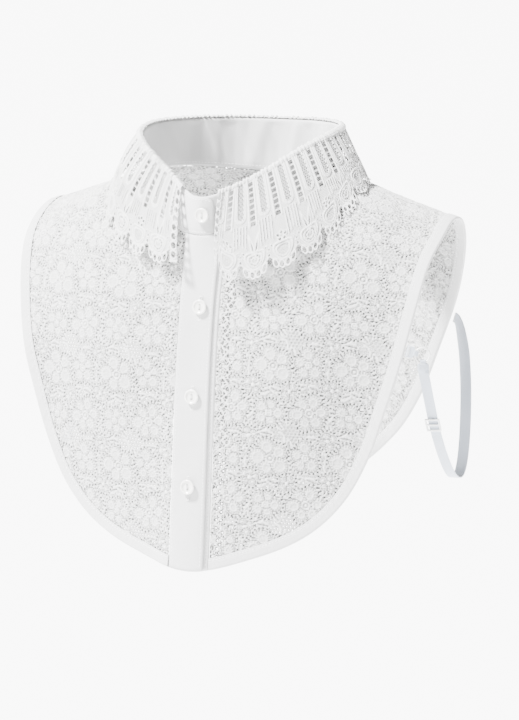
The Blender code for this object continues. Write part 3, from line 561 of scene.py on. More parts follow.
def carve(values, solid):
    """Keeps the part of a grid where solid is above zero and cuts cells along the line where it is
    zero. Values holds what each grid point carries, its place first."""
    rows, columns = solid.shape
    inside = solid > 0
    number = np.full(solid.shape, -1)
    number[inside] = np.arange(inside.sum())
    kept = [values[inside]]
    count = int(inside.sum())
    crossings = []
    for axis in (1, 0):
        low = [slice(None)] * 2
        high = [slice(None)] * 2
        low[axis], high[axis] = slice(None, -1), slice(1, None)
        low, high = tuple(low), tuple(high)
        cut = inside[low] != inside[high]
        share = np.clip(solid[low][cut] / (solid[low][cut] - solid[high][cut]), 0.15, 0.85)[:, None]
        ids = np.full(cut.shape, -1)
        ids[cut] = count + np.arange(cut.sum())
        count += int(cut.sum())
        kept.append(values[low][cut] + (values[high][cut] - values[low][cut]) * share)
        crossings.append(ids)
    level, upright = crossings
    corner = [number[:-1, :-1], number[:-1, 1:], number[1:, 1:], number[1:, :-1]]
    side = [level[:-1], upright[:, 1:], level[1:], upright[:, :-1]]
    code = sum((inside_corner >= 0).astype(int) << k for k, inside_corner in enumerate(corner))
    polygons = []
    for case in range(1, 16):
        pick = code == case
        ring = []
        for k in range(4):
            here, there = case >> k & 1, case >> (k + 1) % 4 & 1
            if here:
                ring.append(corner[k][pick])
            if here != there:
                ring.append(side[k][pick])
        polygons.append(np.stack(ring, 1))
    return np.concatenate(kept), polygons


def ridge(distance, width):
    """The round top of a cord, by the distance from its middle line."""
    return np.sqrt(np.clip(1 - (2 * distance / width) ** 2, 0, 1))


class Lace:
    """A stretch of lace: how high its threads stand and where it is solid, in millimetres."""

    def __init__(self, shape):
        self.solid = np.full(shape, -5.0)
        self.height = np.zeros(shape)

    def lay(self, solid, height):
        """Adds a piece of lace. Solid is the distance inside its outline, below zero outside."""
        on_top = (solid > -0.2) & ((height > self.height) | (self.solid < solid) & (self.solid < 0.6))
        self.height = np.where(on_top, height, self.height)
        self.solid = np.maximum(self.solid, solid)

    def cover(self, region, solid, height):
        """Replaces what lies inside a region's outline."""
        there = region > 0
        self.height = np.where(there, height, self.height)
        self.solid = np.where(there, solid, self.solid)

    def pierce(self, hole):
        """Opens holes. Hole is the distance outside the hole's outline, below zero within."""
        self.solid = np.minimum(self.solid, hole)


def wrapped(x, period):
    """The distance to the nearest repeat of zero."""
    return (x + period / 2) % period - period / 2


def net(x, y, pitch, bar):
    """How far inside a thread of a six-sided net a point lies, below zero in its holes."""
    high = pitch * math.sqrt(3)
    best = None
    for shift in (0.0, 0.5):
        dx = np.abs(wrapped(x - shift * pitch, pitch))
        dy = np.abs(wrapped(y - shift * high, high))
        six = np.maximum(dx, 0.5 * dx + 0.866 * dy)
        best = six if best is None else np.minimum(best, six)
    return best - (pitch - bar) / 2


def lay_petal(lace, along, across, length, width):
    """A rounded petal: a smooth middle, a rim of satin bars and a groove round it, painted darker as shade."""
    inside = -ellipse(along, across, length, width)
    round_way = np.arctan2(across / width, along / length)
    bars = round(2 * math.pi * math.sqrt(length * width) / BAR_PITCH)
    bar = np.cos(round_way * bars / 2) ** 2
    ribs = np.cos(across * 2 * math.pi / RIB_PITCH) + 0.5 * np.cos(along * 1.9)
    height = np.where(inside < PETAL_RIM, 1.15 * bar - 0.3, 0.36 + 0.11 * ribs)
    height = np.maximum(height, 0.85 * ridge(inside - PETAL_RIM, 0.9))
    height = np.where(inside < 0.4, -0.5, height)
    lace.cover(inside, 1.0 + 0 * inside, height)


def lay_flower(lace, x, y, flower):
    """A flower of overlapping petals round a ringed centre, with a chain of sunk eyelets about it that are painted dark
    as shade, not cut through.
    """
    dx, dy = wrapped(x - flower.x, REPEAT[0]), wrapped(y - flower.y, REPEAT[1])
    r, angle = np.hypot(dx, dy), np.arctan2(dy, dx)
    petals = []
    for k in range(flower.petals):
        turn = math.radians(flower.turn) + 2 * math.pi * k / flower.petals
        grown = 1 + 0.1 * math.sin(2.4 * k + flower.x)
        along = dx * math.cos(turn) + dy * math.sin(turn) - 0.57 * flower.size * grown
        across = dy * math.cos(turn) - dx * math.sin(turn)
        width = 0.64 * flower.size * grown * math.sin(math.pi / flower.petals) + 0.5
        petals.append((along, across, 0.43 * flower.size * grown, width))
    inside = np.max([-ellipse(*petal) for petal in petals], axis=0)
    beads = round(2 * math.pi * (flower.size + 1.2) / 2.7)
    turn = np.abs((angle * beads / (2 * math.pi)) % 1 - 0.5) * 2 * math.pi * r / beads
    chain = np.hypot(turn, inside + 1.15) - 0.7
    lace.cover(inside + 2.1, 1.0 + 0 * r, np.where(chain < 0, -0.9, 0.6 * ridge(np.abs(chain - 0.35), 1.0)))
    for petal in petals:
        lay_petal(lace, *petal)
    middle = 0.25 * flower.size - r
    height = np.maximum(1.0 * ridge(middle - 0.7, 1.3), 1.0 * ridge(r, 2.2))
    lace.cover(middle, 1.0 + 0 * r, np.where(middle < 0.25, -0.3, height))


def lay_leaf(lace, x, y, leaf):
    """A pointed leaf with a sunk slit down its middle, painted dark as shade rather than cut, and satin bars to each
    side.
    """
    dx, dy = wrapped(x - leaf.x, REPEAT[0]), wrapped(y - leaf.y, REPEAT[1])
    turn = math.radians(leaf.turn)
    along = dx * math.cos(turn) + dy * math.sin(turn)
    across = np.abs(dy * math.cos(turn) - dx * math.sin(turn))
    share = np.clip(along / leaf.length + 0.5, 0, 1)
    half = leaf.width / 2 * np.sin(np.pi * share) ** 0.75
    inside = (half - across) * 0.85
    inside = np.where((share <= 0) | (share >= 1), -np.hypot(across, np.abs(along) - leaf.length / 2), inside)
    height = 0.1 + 0.6 * np.cos((along + across) * math.pi / 2.4) ** 2
    height = np.maximum(height, 0.85 * ridge(inside - 0.5, 1.0))
    height = height - np.where((share > 0.15) & (share < 0.85), 0.8 * ridge(across, 1.1), 0)
    lace.cover(inside, 1.0 + 0 * x, height)


def lay_scroll(lace, x, y, scroll):
    """A curled stem of twisted cord."""
    dx, dy = wrapped(x - scroll.x, REPEAT[0]), wrapped(y - scroll.y, REPEAT[1])
    r = np.hypot(dx, dy)
    turn = (np.degrees(np.arctan2(dy, dx)) - scroll.start) % 360
    off = np.abs(r - scroll.radius * (1 - 0.25 * np.minimum(turn, scroll.sweep) / scroll.sweep))
    past = np.minimum(np.abs(turn - scroll.sweep), 360 - turn) * np.radians(r)
    off = np.where(turn > scroll.sweep, np.hypot(off, past), off)
    twist = 0.08 * np.cos(turn * scroll.radius / 12)
    lace.lay(0.75 - off, (0.8 + twist) * ridge(off, 1.5))


def floral_lace(x, y):
    """The all-over lace of the bibs: flowers, leaves and stems on a six-sided net."""
    lace = Lace(x.shape)
    sway = 0.5 * np.sin(x / 7.0) + 0.4 * np.sin(y / 9.0 + 1)
    # The net's cells are mostly closed: a small hole is cut in each, and the sunk ground round it is painted darker as
    # shade
    bar = net(x + sway, y + sway * 0.6, NET_PITCH, NET_BAR)
    lace.lay(bar + NET_CLOSED, 0.1 + 0.8 * np.clip(bar / NET_BAR, -1, 0.5))
    for scroll in SCROLLS:
        lay_scroll(lace, x, y, scroll)
    for leaf in LEAVES:
        lay_leaf(lace, x, y, leaf)
    for flower in FLOWERS:
        lay_flower(lace, x, y, flower)
    return lace


def flattened(points, start, rounds):
    """Lays a curved grid of points out flat, keeping the lengths between neighbours."""
    flat = start.copy()
    rows, columns = points.shape[:2]
    links = []
    for down, right in ((0, 1), (1, 0), (1, 1), (1, -1), (0, 2), (2, 0)):
        a = (slice(0, rows - down), slice(max(-right, 0), columns - max(right, 0)))
        b = (slice(down, rows), slice(max(right, 0), columns + min(right, 0)))
        links.append((a, b, np.linalg.norm(points[b] - points[a], axis=-1)))
    for _ in range(rounds):
        move = np.zeros_like(flat)
        count = np.zeros(flat.shape[:2])
        for a, b, length in links:
            way = flat[b] - flat[a]
            now = np.linalg.norm(way, axis=-1)
            pull = way * (0.5 * (now - length) / np.maximum(now, 1e-9))[..., None]
            move[a] += pull
            move[b] -= pull
            count[a] += 1
            count[b] += 1
        flat += 1.6 * move / count[..., None]
    return flat


def in_cell(grid, row, column):
    """Reads a grid at fractional rows and columns, with how it changes along each."""
    rows, columns = grid.shape[:2]
    r = np.clip(np.floor(row).astype(int), 0, rows - 2)
    c = np.clip(np.floor(column).astype(int), 0, columns - 2)
    fr, fc = (row - r)[..., None], (column - c)[..., None]
    a, b, d, e = grid[r, c], grid[r, c + 1], grid[r + 1, c], grid[r + 1, c + 1]
    value = a * (1 - fr) * (1 - fc) + b * (1 - fr) * fc + d * fr * (1 - fc) + e * fr * fc
    return value, (d - a) * (1 - fc) + (e - b) * fc, (b - a) * (1 - fr) + (e - d) * fr


class Panel:
    """A piece of lace cut flat and laid on the bib between two seams."""

    def __init__(self, first, last, lapped, start):
        self.first, self.last, self.lapped = first, last, lapped
        share, across = np.meshgrid(np.linspace(0, 1, 41), np.linspace(0, 1, 49), indexing="ij")
        points = self.place(share, across)[0]
        self.flat = flattened(points, start(points), 2500)
        self.flat -= self.flat[0, 0]
        edge = self.flat[-1, 0] - self.flat[0, 0]
        turn = math.atan2(edge[0], -edge[1])
        spin = np.array([[math.cos(turn), -math.sin(turn)], [math.sin(turn), math.cos(turn)]])
        self.flat = self.flat @ spin

    def place(self, share, across):
        """Points on the form, and the way out of it, by shares of the panel."""
        t = self.first(share) + (self.last(share) - self.first(share)) * across
        top = neck_margin(t)
        bottom = 1 - edge_margin(t, BINDING_WIDTH / 2)
        s = top + (bottom - top) * share
        t = self.first(s) + (self.last(s) - self.first(s)) * across
        point, normal = bib_point(t, s), bib_normal(t, s)
        if self.lapped:
            point = point + normal * lap_out(point[..., 0], s)[..., None]
        return point, normal

    def cut_size(self):
        """The width, length and area of the flat piece, in metres."""
        span = np.ptp(self.flat.reshape(-1, 2), axis=0) * MM
        a, b, c, d = self.flat[:-1, :-1], self.flat[:-1, 1:], self.flat[1:, 1:], self.flat[1:, :-1]
        p, q = c - a, d - b
        area = np.abs(p[..., 0] * q[..., 1] - p[..., 1] * q[..., 0]).sum() / 2 * MM * MM
        return float(span[0]), float(span[1]), float(area)

    def laid(self, pitch):
        """An even grid over the flat piece, each point found on the form."""
        low = self.flat.reshape(-1, 2).min(0) - pitch
        high = self.flat.reshape(-1, 2).max(0) + pitch
        x, y = np.meshgrid(np.arange(low[0], high[0], pitch), np.arange(low[1], high[1], pitch))
        tree = KDTree(self.flat[..., 0].size)
        columns = self.flat.shape[1]
        for i, (u, v) in enumerate(self.flat.reshape(-1, 2)):
            tree.insert((u, v, 0), i)
        tree.balance()
        block = 6
        coarse = np.array([[tree.find((u, v, 0))[1] for u, v in zip(xs, ys)]
                           for xs, ys in zip(x[::block, ::block], y[::block, ::block])])
        nearest = np.repeat(np.repeat(coarse, block, 0), block, 1)[:x.shape[0], :x.shape[1]]
        row, column = (nearest // columns).astype(float), (nearest % columns).astype(float)
        target = np.stack([x, y], -1)
        for _ in range(9):
            value, by_row, by_column = in_cell(self.flat, row, column)
            miss = target - value
            across = by_row[..., 0] * by_column[..., 1] - by_row[..., 1] * by_column[..., 0]
            across = np.where(np.abs(across) < 1e-9, 1e-9, across)
            row += np.clip((miss[..., 0] * by_column[..., 1] - miss[..., 1] * by_column[..., 0]) / across, -4, 4)
            column += np.clip((by_row[..., 0] * miss[..., 1] - by_row[..., 1] * miss[..., 0]) / across, -4, 4)
            row = np.clip(row, -2, self.flat.shape[0] + 1)
            column = np.clip(column, -2, columns + 1)
        size_row = np.linalg.norm(by_row, axis=-1)
        size_column = np.linalg.norm(by_column, axis=-1)
        last_row, last_column = self.flat.shape[0] - 1, columns - 1
        within = np.minimum(np.minimum(row, last_row - row) * size_row,
                            np.minimum(column, last_column - column) * size_column)
        share = np.clip(row / last_row, -0.01, 1.01)
        across = np.clip(column / last_column, -0.01, 1.01)
        point, normal = self.place(share, across)
        return x, y, point, normal, within


def lace_object(name, x, y, point, normal, solid, height, finish):
    """A thin sheet of lace with its holes cut and its cords raised, its right side out."""
    raised = point + normal * np.maximum(height, PIT_FLOOR)[..., None]
    # The cut attribute keeps the flat place and the full height, which paints shade into the pits deeper than the sheet
    # is sunk
    cut = np.stack(np.broadcast_arrays(x, y, height), -1) * MM
    values, polygons = carve(np.concatenate([raised, cut, normal], -1), solid)
    whole = polygons[-1]
    a, b, c = (values[whole[:, k], :3] for k in range(3))
    if np.sum(np.cross(b - a, c - a) * values[whole[:, 0], 6:]) < 0:
        polygons = [p[:, ::-1] for p in polygons]
    used = np.zeros(len(values), bool)
    for p in polygons:
        used[p.ravel()] = True
    number = np.cumsum(used) - 1
    polygons = [number[p] for p in polygons]
    values = values[used]
    return make_object(name, values[:, :3], polygons, finish, {"cut": values[:, 3:6]})


def front_start(points):
    """A first guess at a front's flat shape: the chest as seen from in front, the shoulder unrolled."""
    return np.stack([points[..., 0] * 1.03, points[..., 2] + (points[..., 1] + 70) * 0.6], -1)


def back_start(points):
    """A first guess at the back's flat shape, as seen from behind."""
    return np.stack([-points[..., 0] * 1.03, points[..., 2] + (60 - points[..., 1]) * 0.6], -1)


def fall_columns(place):
    """Sections across the collar fall at fractional rows of its edge table."""
    row = curve(EDGE_ROWS, place)
    angle = row[..., 0]
    shift = np.where(angle > 180, stand_out(angle - 360), 0.0)
    out = radial(angle)
    start = stand_top(angle) + out * shift[..., None]
    up = np.array([0.0, 0.0, 1.0])
    turned = [start + out * across + up * rise for across, rise in ROLL_STEPS]
    run = row[..., 1:4] - turned[-1]
    length = np.linalg.norm(run, axis=-1)
    sideways = np.stack([-out[..., 1], out[..., 0], np.zeros_like(angle)], -1)
    outward = unit(np.cross(run, sideways))
    outward = np.where(np.sum(outward * out, -1, keepdims=True) < 0, -outward, outward)
    return {"turned": turned, "run": run, "length": length, "outward": outward, "belly": row[..., 4]}


def fall_run(column, depth):
    """Points down the fall's hanging side."""
    share = depth / column["length"]
    swell = column["belly"] * 4 * share * np.maximum(0, 1 - share)
    return column["turned"][-1] + column["run"] * share[..., None] + column["outward"] * swell[..., None]


def bib_tree():
    """The bib's surface, to find what lies nearest to a point."""
    t, s = np.meshgrid(np.linspace(-BACK, BACK, 6 * BACK + 1), np.linspace(0, 1, 17))
    points = bib_point(t, s).reshape(-1, 3)
    quads = grid_quads(17, 6 * BACK + 1)[:, ::-1]
    return BVHTree.FromPolygons([tuple(p) for p in points], [tuple(int(i) for i in q) for q in quads])


def rested(tree, point, heading):
    """Where points of the fall come to lie if it bends to rest on the bib."""
    flat, ways = point.reshape(-1, 3), unit(heading).reshape(-1, 3)
    out = flat.copy()
    for i, (p, way) in enumerate(zip(flat, ways)):
        spot, normal, _, distance = tree.find_nearest(tuple(p), REST_REACH)
        if spot is None:
            continue
        place = Vector(p)
        sunk = REST - (place - spot).dot(normal)
        if sunk <= 0:
            continue
        heading_here = Vector(way)
        place = place + normal * sunk
        steep = min(-heading_here.dot(normal), STEEPEST)
        if steep > 0:
            slide = sunk * (1 - math.sqrt(1 - steep * steep)) / steep
            place = place + (heading_here + normal * steep).normalized() * slide
        out[i] = place
    return out.reshape(point.shape)


class Fall:
    """The collar fall's surface and the layout of its lace."""

    def __init__(self):
        fine = np.linspace(0, len(FALL_EDGE) - 1, 801)
        edge = curve(EDGE_ROWS, fine)[:, 1:4]
        steps = np.linalg.norm(np.diff(edge, axis=0), axis=1)
        self.lengths = np.concatenate([[0], np.cumsum(steps)])
        self.fine = fine
        self.total = self.lengths[-1]
        self.count = round((self.total - 2 * LADDER_WIDTH) / SCALLOP)
        self.wide = (self.total - 2 * LADDER_WIDTH) / self.count
        self.tree = bib_tree()

    def column(self, along):
        """Sections at lengths along the lower edge."""
        return fall_columns(np.interp(along, self.lengths, self.fine))

    def edge_depth(self, along, length):
        """How far down the scalloped edge lies."""
        share = ((along - LADDER_WIDTH) / self.wide) % 1.0
        bulge = SCALLOP_DEPTH * (np.sin(np.pi * share) - 0.5)
        ladder = (along < LADDER_WIDTH) | (along > self.total - LADDER_WIDTH)
        return length + np.where(ladder, 0.0, bulge)

    def point(self, along, depth):
        """Points on the fall, and the way out of it, for depths from the turn down."""
        column = self.column(along)
        near = fall_run(column, depth)
        point = rested(self.tree, near, column["run"])
        return point, column


def local_frame(points):
    """The way along the columns, down the rows and out of a grid of points."""
    along = np.gradient(points, axis=1)
    down = np.gradient(points, axis=0)
    return unit(along), unit(down), unit(np.cross(down, along))


def ellipse(dx, dy, a, b):
    """Roughly how far outside an ellipse a point lies."""
    return (np.hypot(dx / a, dy / b) - 1) * np.minimum(a, b)


def collar_lace(fall, along, depth, length, edge_depth, top_share):
    """The heavy lace of the fall: mesh-filled ovals and ladders under the turn, then medallions,
    eyelets and ringed scallops. Depth is measured down from the turn."""
    above = edge_depth - depth
    unit_along = (along - LADDER_WIDTH) / fall.wide
    index = np.floor(unit_along)
    width = fall.wide * (top_share + (1 - top_share) * np.clip(depth / length, 0, 1))
    x = (unit_along - index - 0.5) * width
    x_seam = (unit_along - np.round(unit_along)) * width
    share = np.clip(depth, 0, None) / length
    lace = Lace(along.shape)
    stitch = 0.06 * np.sin(depth * 5.2) * np.sin(x * 4.4 + np.floor(depth * 1.66) * 1.6)
    base = 0.42 + stitch
    lace.lay(above, base)

    # Ladders of square windows below the turn, in the middle of each scallop
    window = 1.55 + 0.5 * share
    ladder_end = 0.50 * length
    pitch = 4.3
    phase = wrapped(depth - 1.2 - pitch / 2, pitch)
    hole = np.maximum(np.abs(x) - window, np.abs(phase) - pitch / 2 + 0.55)
    hole = np.where(depth < ladder_end, hole, 1.0)
    lace.pierce(np.where(depth > 0.8, hole, 1.0))
    beside = np.abs(np.abs(x) - window - 0.75)
    lace.height = np.where(depth < ladder_end + 1, np.maximum(lace.height, 1.0 * ridge(beside, 1.4)), lace.height)

    # Ovals filled with mesh, on the seams between scallops
    oval_end = 0.44 * length
    half = 3.5 + 0.5 * share
    bend = oval_end - 4.2
    ox, oy = x_seam, np.maximum(depth - bend, 0.0)
    oval = half - np.hypot(ox, oy * half / 4.2)
    mesh_height = 0.1 + 0 * depth
    fill = net(x_seam, depth, 1.95, 0.7)
    lace.cover(np.where(depth > 0, oval - 1.3, -1), fill, mesh_height)
    for offset in (0.55, 1.75):
        lace.height = np.where(np.abs(oval - 1.2 + offset - 0.6) < 0.6,
                               np.maximum(lace.height, 1.05 * ridge(oval - 1.2 + offset - 0.6, 1.15)), lace.height)

    # Slits that fan out between the ovals and the medallions
    fan = np.abs(wrapped(x_seam, 2.1))
    in_fan = (depth > oval_end + 2.2) & (above > 19.5) & (np.abs(x_seam) < 5.2)
    lace.pierce(np.where(in_fan, np.maximum(0.3 - fan, -0.3) * -1.0, 1.0))
    lace.height = np.where(in_fan, 0.45 + 0.5 * np.cos(wrapped(x_seam, 2.1) * np.pi / 2.1) ** 2, lace.height)

    # Medallions above each scallop: dotted ones and ringed ones by turns
    even = index % 2 == 0
    rise = 12.6
    mx, my = x, above - rise
    outer = ellipse(mx, my, 6.3, 5.6)
    dots = np.hypot(wrapped(mx + 1.0 * np.floor((my + 50) / 1.75), 2.0), wrapped(my, 1.75))
    dotted = np.where(even, dots - 0.42, 1.0)
    inner = ellipse(mx, my, 2.6, 2.2)
    around = np.arctan2(my, mx)
    petal = np.abs((around * 9 / (2 * np.pi)) % 1 - 0.5) * 2 * np.pi * np.hypot(mx, my) / 9
    ringed = np.where(even, 1.0, np.hypot(petal / 0.5, (np.hypot(mx, my) - 3.35) / 0.75) * 0.5 - 0.5)
    height = 0.35 + 0.12 * np.cos(np.hypot(mx, my) * 3.2)
    lace.cover(-outer, np.minimum(np.where(outer < -1.9, dotted, 1.0), ringed), height)
    for size, strong in ((0.7, 1.15), (-1.0, 1.0)):
        line = ridge(outer - size + 0.35, 1.25)
        lace.height = np.maximum(lace.height, strong * line)
    lace.height = np.where(even, lace.height, np.maximum(lace.height, 1.0 * ridge(inner, 1.1)))

    # Clusters of five eyelets over the dotted medallions, and slits over the ringed ones
    cx, cy = x, above - rise - 9.4
    for k in range(5):
        turn = math.radians(90 + 72 * k)
        spot = np.hypot(cx - 2.7 * math.cos(turn), cy - 2.5 * math.sin(turn))
        lace.pierce(np.where(even & (np.abs(cx) < 6), spot - 0.92, 1.0))
        lace.height = np.where(even, np.maximum(lace.height, 0.95 * ridge(spot - 1.35, 1.0)), lace.height)
    for lean in (-1, 1):
        slit = ellipse(cx - lean * 1.6 - lean * 0.22 * cy, cy, 0.5, 3.0)
        lace.pierce(np.where(even, 1.0, slit))
        lace.height = np.where(even, lace.height, np.maximum(lace.height, 0.9 * ridge(slit - 0.6, 1.1)))

    # Eyelets between the medallions, and the open rings of the scallops
    for sx, sy, size in ((0.0, 10.2, 0.85), (0.0, 14.0, 0.7), (-2.2, 17.4, 0.6), (2.2, 17.4, 0.6)):
        spot = np.hypot(x_seam - sx, above - sy + 2.5)
        lace.pierce(spot - size)
        lace.height = np.maximum(lace.height, 0.85 * ridge(spot - size - 0.45, 0.9))
    band = above < 6.0
    lace.height = np.where(band, 0.3, lace.height)
    slope = SCALLOP_DEPTH * np.pi / fall.wide * np.cos(np.pi * (unit_along - index))
    loops = np.full(along.shape, -9.0)
    holes = np.full(along.shape, 9.0)
    for k in range(RINGS):
        dx = x - (k - (RINGS - 1) / 2) * RING_PITCH * fall.wide / SCALLOP
        dy = above - RING_RISE + dx * slope * 0.15
        loops = np.maximum(loops, -ellipse(dx, dy, 2.35, 3.05))
        holes = np.minimum(holes, ellipse(dx, dy, 1.3, 1.95))
    loop_solid = np.maximum(np.minimum(loops, holes), above - 5.4)
    lace.solid = np.where(band, np.minimum(loop_solid, holes), lace.solid)
    lace.height = np.where(band, 0.95 * ridge(np.abs(holes - 0.5), 1.35), lace.height)
    lace.height = np.maximum(lace.height, np.where(above > 4.6, 0.9 * ridge(above - 6.3, 1.3), 0))

    # Ladders of round windows down each front edge
    from_end = np.minimum(along, fall.total - along)
    start, end = 1.2, length - 1.6
    step = (end - start) / LADDER_HOLES
    phase = wrapped(depth - start - step * 0.44, step)
    hole = np.where((depth > start - 0.3) & (depth < end), ellipse(from_end - 3.3, phase, 2.1, step * 0.34), 1.0)
    hem = from_end + 0.25 * np.cos(depth * 2 * np.pi / step) - 0.25
    rounded = np.minimum(hem, edge_depth - depth)
    ladder = from_end < LADDER_WIDTH
    lace.solid = np.where(ladder, np.minimum(rounded, hole), lace.solid)
    corded = np.maximum(0.4, 1.0 * ridge(hole - 0.6, 1.3))
    lace.height = np.where(ladder, corded, lace.height)

    # A thin lip under the turn stays whole; the fall adds its puckers where it is sewn on
    lace.solid = np.where(depth < 0.9, np.maximum(lace.solid, 0.5), lace.solid)
    return lace


def hex_colour(code):
    """A linear colour from an sRGB hex code."""
    parts = [int(code[i:i + 2], 16) / 255 for i in (1, 3, 5)]
    return tuple(c / 12.92 if c <= 0.04045 else ((c + 0.055) / 1.055) ** 2.4 for c in parts) + (1.0,)


def node(tree, kind, inputs=None, **settings):
    """Adds a node, sets it, and gives each named input a value or a link."""
    made = tree.nodes.new(kind)
    for key, value in settings.items():
        setattr(made, key, value)
    for key, value in (inputs or {}).items():
        if isinstance(value, bpy.types.NodeSocket):
            tree.links.new(value, made.inputs[key])
        else:
            made.inputs[key].default_value = value
    return made


def mixed_colour(tree, factor, low, high):
    """A colour between two, by a factor."""
    mix = tree.nodes.new("ShaderNodeMix")
    mix.data_type = "RGBA"
    tree.links.new(factor, mix.inputs["Factor"])
    blends = [socket for socket in mix.inputs if socket.type == "RGBA"]
    blends[0].default_value, blends[1].default_value = hex_colour(low), hex_colour(high)
    return [socket for socket in mix.outputs if socket.type == "RGBA"][0]


def cloth_material(name, colour, clouds_and_pit_shade, roughness, weave, bump, sheen=0.2, glow=0.1, lace=False):
    """Cloth with a fine weave, faint clouds in its white, a soft nap and some light let through.

    Weave is the pitch of the threads each way in millimetres, and bump how deep they are. Lace gets
    painted shade: the lower its threads lie, the darker; raised cords stay white. Other cloth gets clouds."""
    made = bpy.data.materials.new(name)
    made.use_nodes = True
    tree = made.node_tree
    tree.nodes.clear()
    if lace:
        # Painted shade for lace: its colour darkens towards the pit-shade colour the lower each thread lies
        place = node(tree, "ShaderNodeAttribute", attribute_name="cut").outputs["Vector"]
        raised = node(tree, "ShaderNodeSeparateXYZ", {"Vector": place}).outputs["Z"]
        factor = node(tree, "ShaderNodeMapRange", {"Value": raised, "From Min": -0.9 * MM,
                                                   "From Max": 0.5 * MM}).outputs["Result"]
    else:
        place = node(tree, "ShaderNodeTexCoord").outputs["Object"]
        factor = node(tree, "ShaderNodeTexNoise", {"Vector": place, "Scale": 45.0, "Detail": 2.0}).outputs["Fac"]
    waves = []
    for axis, pitch in zip(("X", "Y"), weave):
        waves.append(node(tree, "ShaderNodeTexWave", {
            "Vector": place, "Scale": 0.31416 / (pitch * MM), "Distortion": 0.8, "Detail": 1.0,
            "Detail Scale": 0.6}, bands_direction=axis).outputs["Fac"])
    both = node(tree, "ShaderNodeMath", {0: waves[0], 1: waves[1]}, operation="MULTIPLY")
    slub = node(tree, "ShaderNodeTexNoise", {"Vector": place, "Scale": 900.0, "Detail": 3.0})
    rough_height = node(tree, "ShaderNodeMath", {0: both.outputs[0], 1: slub.outputs["Fac"]}, operation="ADD")
    fine = node(tree, "ShaderNodeBump", {"Height": rough_height.outputs[0], "Distance": bump * MM, "Strength": 1.0})
    clouded_and_shaded_colour = mixed_colour(tree, factor, clouds_and_pit_shade, colour)
    shader = node(tree, "ShaderNodeBsdfPrincipled", {
        "Base Color": clouded_and_shaded_colour, "Roughness": roughness, "Sheen Weight": sheen, "Sheen Roughness": 0.6,
        "Normal": fine.outputs["Normal"], "Specular IOR Level": 0.25})
    through = node(tree, "ShaderNodeBsdfTranslucent", {"Color": clouded_and_shaded_colour, "Normal": fine.outputs["Normal"]})
    mixed = node(tree, "ShaderNodeMixShader", {"Fac": glow, 1: shader.outputs[0], 2: through.outputs[0]})
    node(tree, "ShaderNodeOutputMaterial", {"Surface": mixed.outputs[0]})
    return made


def hard_material(name, colour, roughness, coat, grain, bump):
    """Moulded plastic with faint clouds under a clear surface."""
    made = bpy.data.materials.new(name)
    made.use_nodes = True
    tree = made.node_tree
    tree.nodes.clear()
    place = node(tree, "ShaderNodeTexCoord").outputs["Object"]
    cloud = node(tree, "ShaderNodeTexNoise", {"Vector": place, "Scale": grain, "Detail": 3.0, "Distortion": 1.5})
    rough = node(tree, "ShaderNodeMapRange", {"Value": cloud.outputs["Fac"], "To Min": roughness - 0.06,
                                              "To Max": roughness + 0.1})
    height = node(tree, "ShaderNodeBump", {"Height": cloud.outputs["Fac"], "Distance": bump * MM, "Strength": 1.0})
    shader = node(tree, "ShaderNodeBsdfPrincipled", {
        "Base Color": hex_colour(colour), "Roughness": rough.outputs["Result"], "Coat Weight": coat,
        "Coat Roughness": 0.15, "Subsurface Weight": 0.15, "Subsurface Radius": (0.002, 0.002, 0.002),
        "Normal": height.outputs["Normal"]})
    node(tree, "ShaderNodeOutputMaterial", {"Surface": shader.outputs[0]})
    return made


def finish(key):
    """The material for a kind of surface, made when it is first asked for."""
    recipes = {
        # Polyester guipure thread: matt white, painted dark grey in its pits and thin ground as shade, so the raised
        # cords stand out light
        "bib_lace": lambda: cloth_material("floral bib lace thread", "#D6D6D5", "#484847", 0.82, (0.9, 0.9), 0.22,
                                           lace=True, glow=0.06),
        # Heavier satin-stitch thread: a touch brighter and coarser, its pits painted dark as shade like the bib's
        "collar_lace": lambda: cloth_material("collar guipure thread", "#CECECD", "#525251", 0.78, (0.8, 1.1), 0.2,
                                              lace=True, glow=0.04),
        # Cotton poplin: a tight, nearly smooth weave
        "cotton": lambda: cloth_material("cotton poplin", "#C9C9C9", "#C2C2C2", 0.86, (0.45, 0.45), 0.05),
        # Cotton bias tape: the same cloth, cut slantwise and pressed
        "tape": lambda: cloth_material("cotton bias tape", "#C8C8C8", "#BEBEBE", 0.84, (0.5, 0.5), 0.08, glow=0.04),
        # Knitted elastic: a cooler white with a silky face
        "elastic": lambda: cloth_material("knitted elastic", "#BBC2CD", "#B0B8C4", 0.42, (0.8, 0.5), 0.08, sheen=0.5,
                                          glow=0.05),
        # Spun polyester sewing thread
        "thread": lambda: cloth_material("sewing thread", "#D6D6D5", "#CECECE", 0.6, (0.3, 0.3), 0.03, glow=0.0),
        # Pearly cast polyester: smooth, with milky clouds
        "button": lambda: hard_material("pearly button plastic", "#DFDEDA", 0.22, 0.5, 380.0, 0.01),
        # Nylon coat over steel wire
        "coated": lambda: hard_material("white nylon coating", "#DDDDDD", 0.34, 0.2, 900.0, 0.01),
    }
    key_name = f"made_{key}"
    found = FINISHES.get(key_name)
    if found is None:
        found = FINISHES[key_name] = recipes[key]()
    return found


FINISHES = {}


